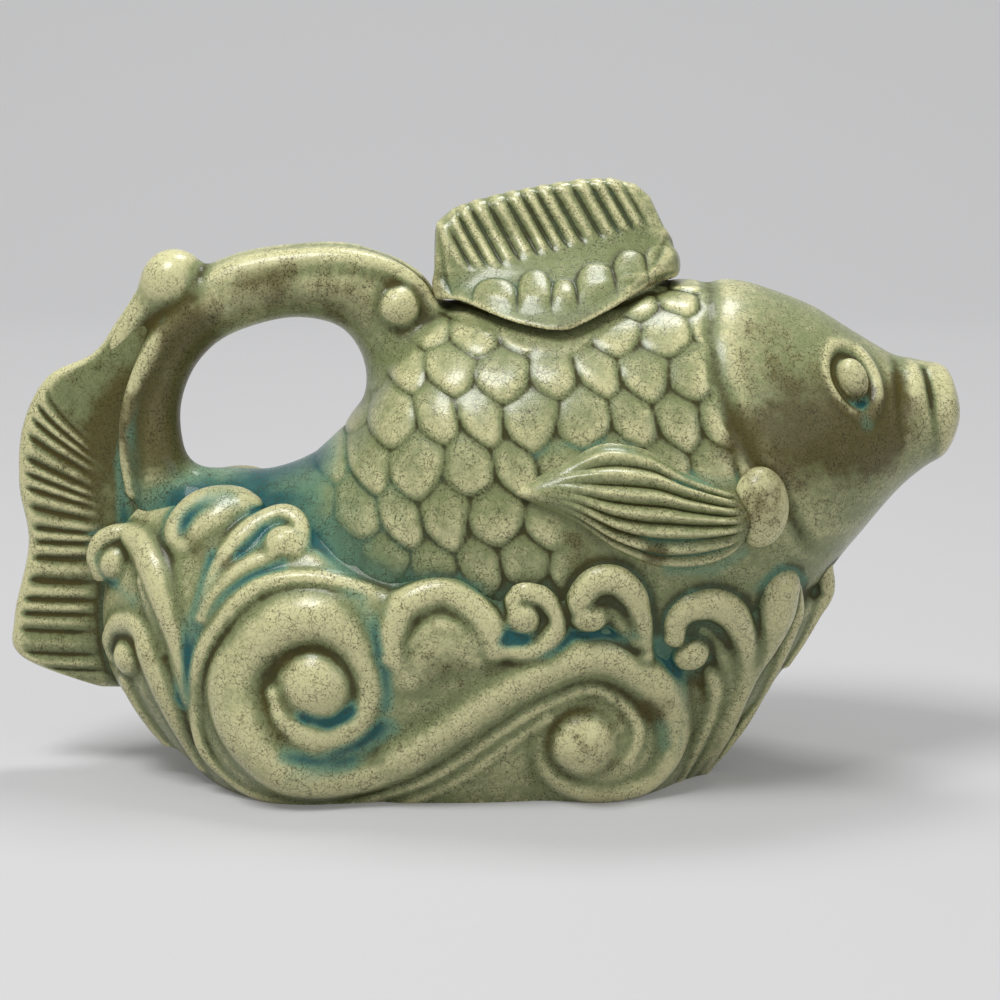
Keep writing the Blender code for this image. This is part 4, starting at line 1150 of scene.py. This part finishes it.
class TEAPOT_OT_tail(bpy.types.Operator):
    """Build the tail fin with ribs that fan out from its root."""

    bl_idname = "teapot.tail"
    bl_label = "Tail Fin"

    def execute(self, context):
        sizes, colours = context.scene.pot_sizes, context.scene.glaze_colours
        across = np.linspace(0, 1, TAIL_STEPS_ACROSS)
        root = smooth_curve(TAIL_ROOT_EDGE, TAIL_STEPS)
        free = smooth_curve(TAIL_FREE_EDGE, TAIL_STEPS)
        rows = []
        for index in range(TAIL_STEPS):
            spot = root[index] + (free[index] - root[index]) * across[:, None]
            end = min(index, TAIL_STEPS - 1 - index) / TAIL_END_STEPS
            rounding = np.sqrt(np.clip(1 - np.clip((across - 0.9) / 0.1, 0, 1)**2, 0.004, 1))
            half = (TAIL_ROOT_HALF + (TAIL_EDGE_HALF - TAIL_ROOT_HALF) * across) * rounding
            half = half * math.sqrt(max(0.01, 1 - max(0, 1 - end)**2))
            rows.append(np.column_stack([spot, half]))
        piece = plate("tail_skin", rows)
        x, _, z = flank_places(piece)
        edge = np.interp(z, free[::-1, 1], free[::-1, 0])
        fan_x, fan_z = TAIL_FAN
        out = np.clip((fan_x - x) / np.maximum(fan_x - edge, 4), 0, 1)
        upper = np.maximum(z - fan_z, 0) / (0.45 + 0.55 * out)
        place = np.where(z > fan_z, upper, z - fan_z) / sizes.tail_rib_pitch
        set_values(piece, "rib", place + 0.16 * np.sin(1.7 * place) + 0.5 * out * (1 - out))
        share = fade(out, 0.2, 0.5) * (1 - fade(out, 0.84, 0.98))
        share = share * (1 - fade(upper, 36, 44)) * fade(z, 22, 27)
        set_values(piece, "rib_share", share)
        material = glaze("tail_glaze", colours, thin=0.44, warmth=0.25)
        apply_tree(piece, rib_tree(), material, Height=sizes.tail_rib, Level=0.5, Roundness=1.6)
        # Crease along the seam with the waves: pooled teal, and through the relief painted shade
        crease = bump(np.maximum(wave_distance(*flank_places(piece)), 0), 2.0)
        finish_piece(piece, material, "pot", ("tail_fin",), 0.2 * crease, 0.0, crease)
        return {"FINISHED"}


class TEAPOT_OT_side_fins(bpy.types.Operator):
    """Build both ribbed side fins with their round roots."""

    bl_idname = "teapot.side_fins"
    bl_label = "Side Fins"

    def execute(self, context):
        sizes, colours = context.scene.pot_sizes, context.scene.glaze_colours
        material = glaze("side_fin_glaze", colours, thin=0.55)
        ribs = rib_tree()
        for name, side in (("right", -1), ("left", 1)):
            upper = smooth_curve(SIDE_FIN_UPPER_EDGE, SIDE_FIN_STEPS_ALONG)
            lower = smooth_curve(SIDE_FIN_LOWER_EDGE, SIDE_FIN_STEPS_ALONG)
            along = np.linspace(0, 1, SIDE_FIN_STEPS_ALONG)
            rings, counts, shares = [], [], []
            for share in np.linspace(0, 1, SIDE_FIN_STEPS):
                spot = upper + (lower - upper) * share
                skin = half_width_at(spot[:, 0], spot[:, 1])
                crown = (1 - abs(2 * share - 1)**5)**0.5 * np.sqrt(np.clip(1 - along**9, 0, 1))
                swell = SIDE_FIN_SINK + SIDE_FIN_EDGE + SIDE_FIN_HEIGHT * math.sin(math.pi * share)
                out = skin - SIDE_FIN_SINK + swell * crown
                outer = np.column_stack([spot[:, 0], side * out, spot[:, 1]])
                inner = np.column_stack([spot[:, 0], side * (skin - SIDE_FIN_DEPTH), spot[:, 1]])
                rings.append(np.vstack([outer, inner[::-1]]))
                bend = np.concatenate([along, along[::-1]])
                counts.append((share + 0.07 * np.sin(2 * math.pi * bend) * math.sin(math.pi * share))
                              * sizes.side_fin_ribs)
                edges = fade(share, 0.03, 0.13) * (1 - fade(share, 0.87, 0.97))
                edges = edges * fade(along, 0.06, 0.2) * (1 - fade(along, 0.66, 0.9))
                shares.append(np.concatenate([edges, np.zeros(SIDE_FIN_STEPS_ALONG)]))
            piece = loft("side_fin_" + name, rings)
            set_values(piece, "rib", np.concatenate(counts))
            set_values(piece, "rib_share", np.concatenate(shares))
            apply_tree(piece, ribs, material, Height=sizes.side_fin_rib, Level=0.5, Roundness=1.6)
            root = flank_bead("root", SIDE_FIN_ROOT_RADII, SIDE_FIN_ROOT, side, SIDE_FIN_ROOT_SEGMENTS)
            combine(piece, "UNION", root)
            finish_piece(piece, material, "pot", ("pectoral_fin_" + name,))
        return {"FINISHED"}


class TEAPOT_OT_eyes(bpy.types.Operator):
    """Build both eye beads."""

    bl_idname = "teapot.eyes"
    bl_label = "Eyes"

    def execute(self, context):
        colours = context.scene.glaze_colours
        material = glaze("eye_glaze", colours, thin=0.55)
        for name, side in (("right", -1), ("left", 1)):
            piece = flank_bead("eye_bead_" + name, EYE_RADII, EYE_PLACE, side, EYE_SEGMENTS, EYE_TILT)
            finish_piece(piece, material, "pot", ("eye_" + name,))
        return {"FINISHED"}


def cap_reach(x, y):
    """Share of the way from the cap's middle to its rim, and how round the rim is there."""
    length = np.where(x < CAP_X, CAP_BACK, CAP_FRONT)
    point = np.where(x < CAP_X, CAP_BACK_POINT, CAP_FRONT_POINT)
    return (np.abs((x - CAP_X) / length)**point + np.abs(y / CAP_SIDE)**point)**(1 / point), point


def cap_top(x, y):
    """Height of the cap's upper side."""
    seat = LIP_HEIGHT + LID_SEAT_GAP
    reach, point = cap_reach(x, 0)
    sine = np.clip(1 - reach**point, 0, 1)**(1 / point)
    rim_y = CAP_SIDE * sine
    crest_y = CAP_CREST_HALF_WIDTH * np.sqrt(sine)
    share = np.clip((rim_y - y) / np.maximum(rim_y - crest_y, 0.5), 0, 1)
    rise = CAP_TOP - back_at(x, crest_y) - seat - CAP_RIM
    return back_at(x, np.minimum(y, rim_y)) + seat + CAP_RIM + rise * share**2


def lid_distance(x, y, z, cell):
    """Cap, dorsal fin and collar of the lid."""
    seat = LIP_HEIGHT + LID_SEAT_GAP
    over = z - cap_top(x, y)
    over = over / np.sqrt(sum(slope**2 for slope in np.gradient(over, cell)))
    over = smooth_max(over, z - CAP_TOP, CAP_TOP_ROUNDING)
    reach = cap_reach(x, y)[0]
    rim = (reach - 1) * CAP_SIDE
    seat = seat + CAP_TAIL_LIFT * fade(reach, 0.8, 1) * (1 - fade(x, 20, 46))
    cap = smooth_max(over, rim, CAP_RIM_ROUNDING)
    rise = np.clip((z - CAP_TOP + DORSAL_TAPER_DROP) / DORSAL_TAPER_HEIGHT, 0, 1)
    fin_half = DORSAL_ROOT_HALF + (DORSAL_EDGE_HALF - DORSAL_ROOT_HALF) * rise
    fin = smooth_max(y - fin_half, outline_distance(x, z, DORSAL_OUTLINE), DORSAL_ROUNDING)
    upper = smooth_min(cap, fin, DORSAL_BLEND)
    upper = smooth_max(upper, seat - carp_distance(x, y, z), SEAT_ROUNDING)
    upper = smooth_max(upper, LID_HANDLE_GAP - handle_distance(x, y, z), SEAT_ROUNDING)
    collar_half = [half - LID_FIT for half in MOUTH_HALF]
    ends = np.maximum(FLANGE_BOTTOM - z, z - CAP_TOP + CAP_ROOF)
    collar = np.maximum(oval_distance(x, y, collar_half), ends)
    collar = smooth_max(np.maximum(collar, over + CAP_RIM), FLANGE_BOTTOM - z, COLLAR_ROUNDING)
    whole = smooth_min(upper, collar, COLLAR_BLEND)
    bore_half = [half - FLANGE_WALL for half in collar_half]
    spring = CAP_TOP - CAP_ROOF - CAP_HOLLOW_HEIGHT
    bore = np.maximum(oval_distance(x, y, bore_half), z - spring)
    dome = ball_distance(x, y, z, (MOUTH_X, 0, spring), (*bore_half, CAP_HOLLOW_HEIGHT))
    return smooth_max(whole, -np.minimum(bore, dome), COLLAR_BLEND)


class TEAPOT_OT_lid(bpy.types.Operator):
    """Build the lid: cap with its row of shields, ribbed dorsal fin and collar."""

    bl_idname = "teapot.lid"
    bl_label = "Lid"

    def execute(self, context):
        sizes, colours = context.scene.pot_sizes, context.scene.glaze_colours
        field = ClayField(*LID_FIELD, sizes.lid_cell)
        field.add(lambda x, y, z: lid_distance(x, y, z, sizes.lid_cell), SHARP)
        piece = field.mesh("lid_skin")
        x, y, z = flank_places(piece)
        outer = fade(carp_distance(x, y, z), 3.4, 4.6)
        leaning = x + DORSAL_LEAN * (z - CAP_TOP)
        place = leaning / sizes.dorsal_rib_pitch
        set_values(piece, "rib", place + 0.1 * np.sin(1.4 * place))
        low = 125.5 + 0.26 * np.maximum(x - 3.5, 0)
        ribs = fade(z, low, low + 4) * fade(x, -9, -3) * (1 - fade(leaning, 42, 47))
        edge = fade(-outline_distance(x, z, DORSAL_OUTLINE), 0, 4)
        set_values(piece, "rib_share", outer * ribs * (0.3 + 0.7 * edge))
        material = glaze("lid_glaze", colours, thin=0.46, green=0.1)
        apply_tree(piece, rib_tree(), material, Height=sizes.dorsal_rib, Roundness=1.5)
        x, y, z = flank_places(piece)
        facing = np.abs(places_of(piece)[1][:, 1])
        pad = np.zeros(len(x))
        for left, right, middle, half in LID_PADS:
            along = np.abs((2 * x - left - right) / (right - left))
            up = np.abs((z - middle) / half)
            spread = along**PAD_SQUARENESS + up**PAD_SQUARENESS
            pad = np.maximum(pad, np.clip(1 - spread, 0, 1)**PAD_FLATNESS)
        pad = pad * outer * fade(facing, 0.25, 0.6)
        raise_skin(piece, PAD_HEIGHT * pad * (1 - 0.65 * fade(x, 38, 44)))
        pool = 0.12 * fade(CAP_TOP - 2 - z, 0, 8) - 0.3 * pad
        # Painted shade: the lid's rim band next to the body is browned, standing in for the shadow in the gap
        # under the lid
        warm = 0.8 * fade(2.5 - carp_distance(x, y, z) + LIP_HEIGHT + LID_SEAT_GAP, 0, 2)
        finish_piece(piece, material, "lid", ("lid_cap", "lid_flange", "dorsal_fin"), pool, warm)
        return {"FINISHED"}


class TEAPOT_OT_stage(bpy.types.Operator):
    """Set the pale floor, the soft light and the camera."""

    bl_idname = "teapot.stage"
    bl_label = "Stage"

    def execute(self, context):
        scene = context.scene
        profile = [(FLOOR_FRONT, 0.0)]
        for turn in np.linspace(0, math.pi / 2, SWEEP_STEPS):
            back = SWEEP_START + SWEEP_RADIUS * math.sin(turn)
            profile.append((back, SWEEP_RADIUS - SWEEP_RADIUS * math.cos(turn)))
        profile.append((SWEEP_START + SWEEP_RADIUS, BACKDROP_TOP))
        points = [(x, y, z) for y, z in profile for x in (-FLOOR_HALF, FLOOR_HALF)]
        faces = [(2 * i, 2 * i + 1, 2 * i + 3, 2 * i + 2) for i in range(len(profile) - 1)]
        mesh = bpy.data.meshes.new("floor")
        mesh.from_pydata(points, [], faces)
        mesh.shade_smooth()
        floor = bpy.data.objects.new("floor", mesh)
        scene.collection.objects.link(floor)
        cloth = bpy.data.materials.new("floor_cloth")
        cloth.use_nodes = True
        shader = cloth.node_tree.nodes["Principled BSDF"]
        shader.inputs["Base Color"].default_value = FLOOR_COLOUR
        shader.inputs["Roughness"].default_value = 0.9
        nodes = Nodes(cloth.node_tree)
        seen = nodes.make("ShaderNodeLightPath", {}, {}, "Is Camera Ray")
        for ray in ("Is Glossy Ray", "Is Transmission Ray"):
            seen = seen.math("MAXIMUM", nodes.make("ShaderNodeLightPath", {}, {}, ray))
        place = nodes.make("ShaderNodeTexCoord", {}, {}, "Object")
        behind = nodes.make("ShaderNodeSeparateXYZ", {}, {"Vector": place}, "Y").ramp(0.1, SWEEP_START)
        glow = seen * (FLOOR_GLOW + behind * BACKDROP_GLOW)
        cloth.node_tree.links.new(glow.socket, shader.inputs["Emission Strength"])
        shader.inputs["Emission Color"].default_value = FLOOR_GLOW_COLOUR
        floor.data.materials.append(cloth)
        world = bpy.data.worlds.new("studio")
        world.use_nodes = True
        sky = world.node_tree.nodes["Background"]
        sky.inputs["Color"].default_value = SKY_COLOUR
        sky.inputs["Strength"].default_value = SKY_STRENGTH
        scene.world = world
        for name, place, size, energy in LAMPS:
            lamp = bpy.data.lights.new(name, "AREA")
            lamp.energy = energy
            lamp.size = size
            light = bpy.data.objects.new(name, lamp)
            light.location = place
            light.rotation_euler = (Vector(LIGHT_TARGET) - light.location).to_track_quat("-Z", "Y").to_euler()
            scene.collection.objects.link(light)
        camera = bpy.data.objects.new("camera", bpy.data.cameras.new("camera"))
        target = Vector(CAMERA_TARGET)
        tilt = math.radians(CAMERA_TILT)
        camera.location = target + CAMERA_DISTANCE * Vector((0, -math.cos(tilt), math.sin(tilt)))
        camera.rotation_euler = (target - camera.location).to_track_quat("-Z", "Y").to_euler()
        camera.data.lens = camera.data.sensor_width * CAMERA_DISTANCE / CAMERA_FRAME
        scene.collection.objects.link(camera)
        scene.camera = camera
        scene.view_settings.view_transform = "Standard"
        return {"FINISHED"}


class TEAPOT_PT_pieces(bpy.types.Panel):
    """Buttons for every piece of the teapot."""

    bl_idname = "TEAPOT_PT_pieces"
    bl_label = "Carp Teapot"
    bl_space_type = "VIEW_3D"
    bl_region_type = "UI"
    bl_category = "Carp Teapot"

    def draw(self, context):
        for operator in OPERATORS:
            self.layout.operator(operator.bl_idname)


OPERATORS = (TEAPOT_OT_carp, TEAPOT_OT_waves, TEAPOT_OT_tail, TEAPOT_OT_side_fins, TEAPOT_OT_eyes,
             TEAPOT_OT_lid, TEAPOT_OT_stage)
CLASSES = (PotSizes, GlazeColours, *OPERATORS, TEAPOT_PT_pieces)


def register():
    """Make the operators, the panel and their settings known."""
    for item in CLASSES:
        bpy.utils.register_class(item)
    bpy.types.Scene.pot_sizes = PointerProperty(type=PotSizes)
    bpy.types.Scene.glaze_colours = PointerProperty(type=GlazeColours)


def unregister():
    """Take them away again."""
    del bpy.types.Scene.glaze_colours
    del bpy.types.Scene.pot_sizes
    for item in reversed(CLASSES):
        bpy.utils.unregister_class(item)


def main():
    """Build every piece."""
    register()
    for operator in OPERATORS:
        group, name = operator.bl_idname.split(".")
        getattr(getattr(bpy.ops, group), name)()


if __name__ == "__main__":
    main()
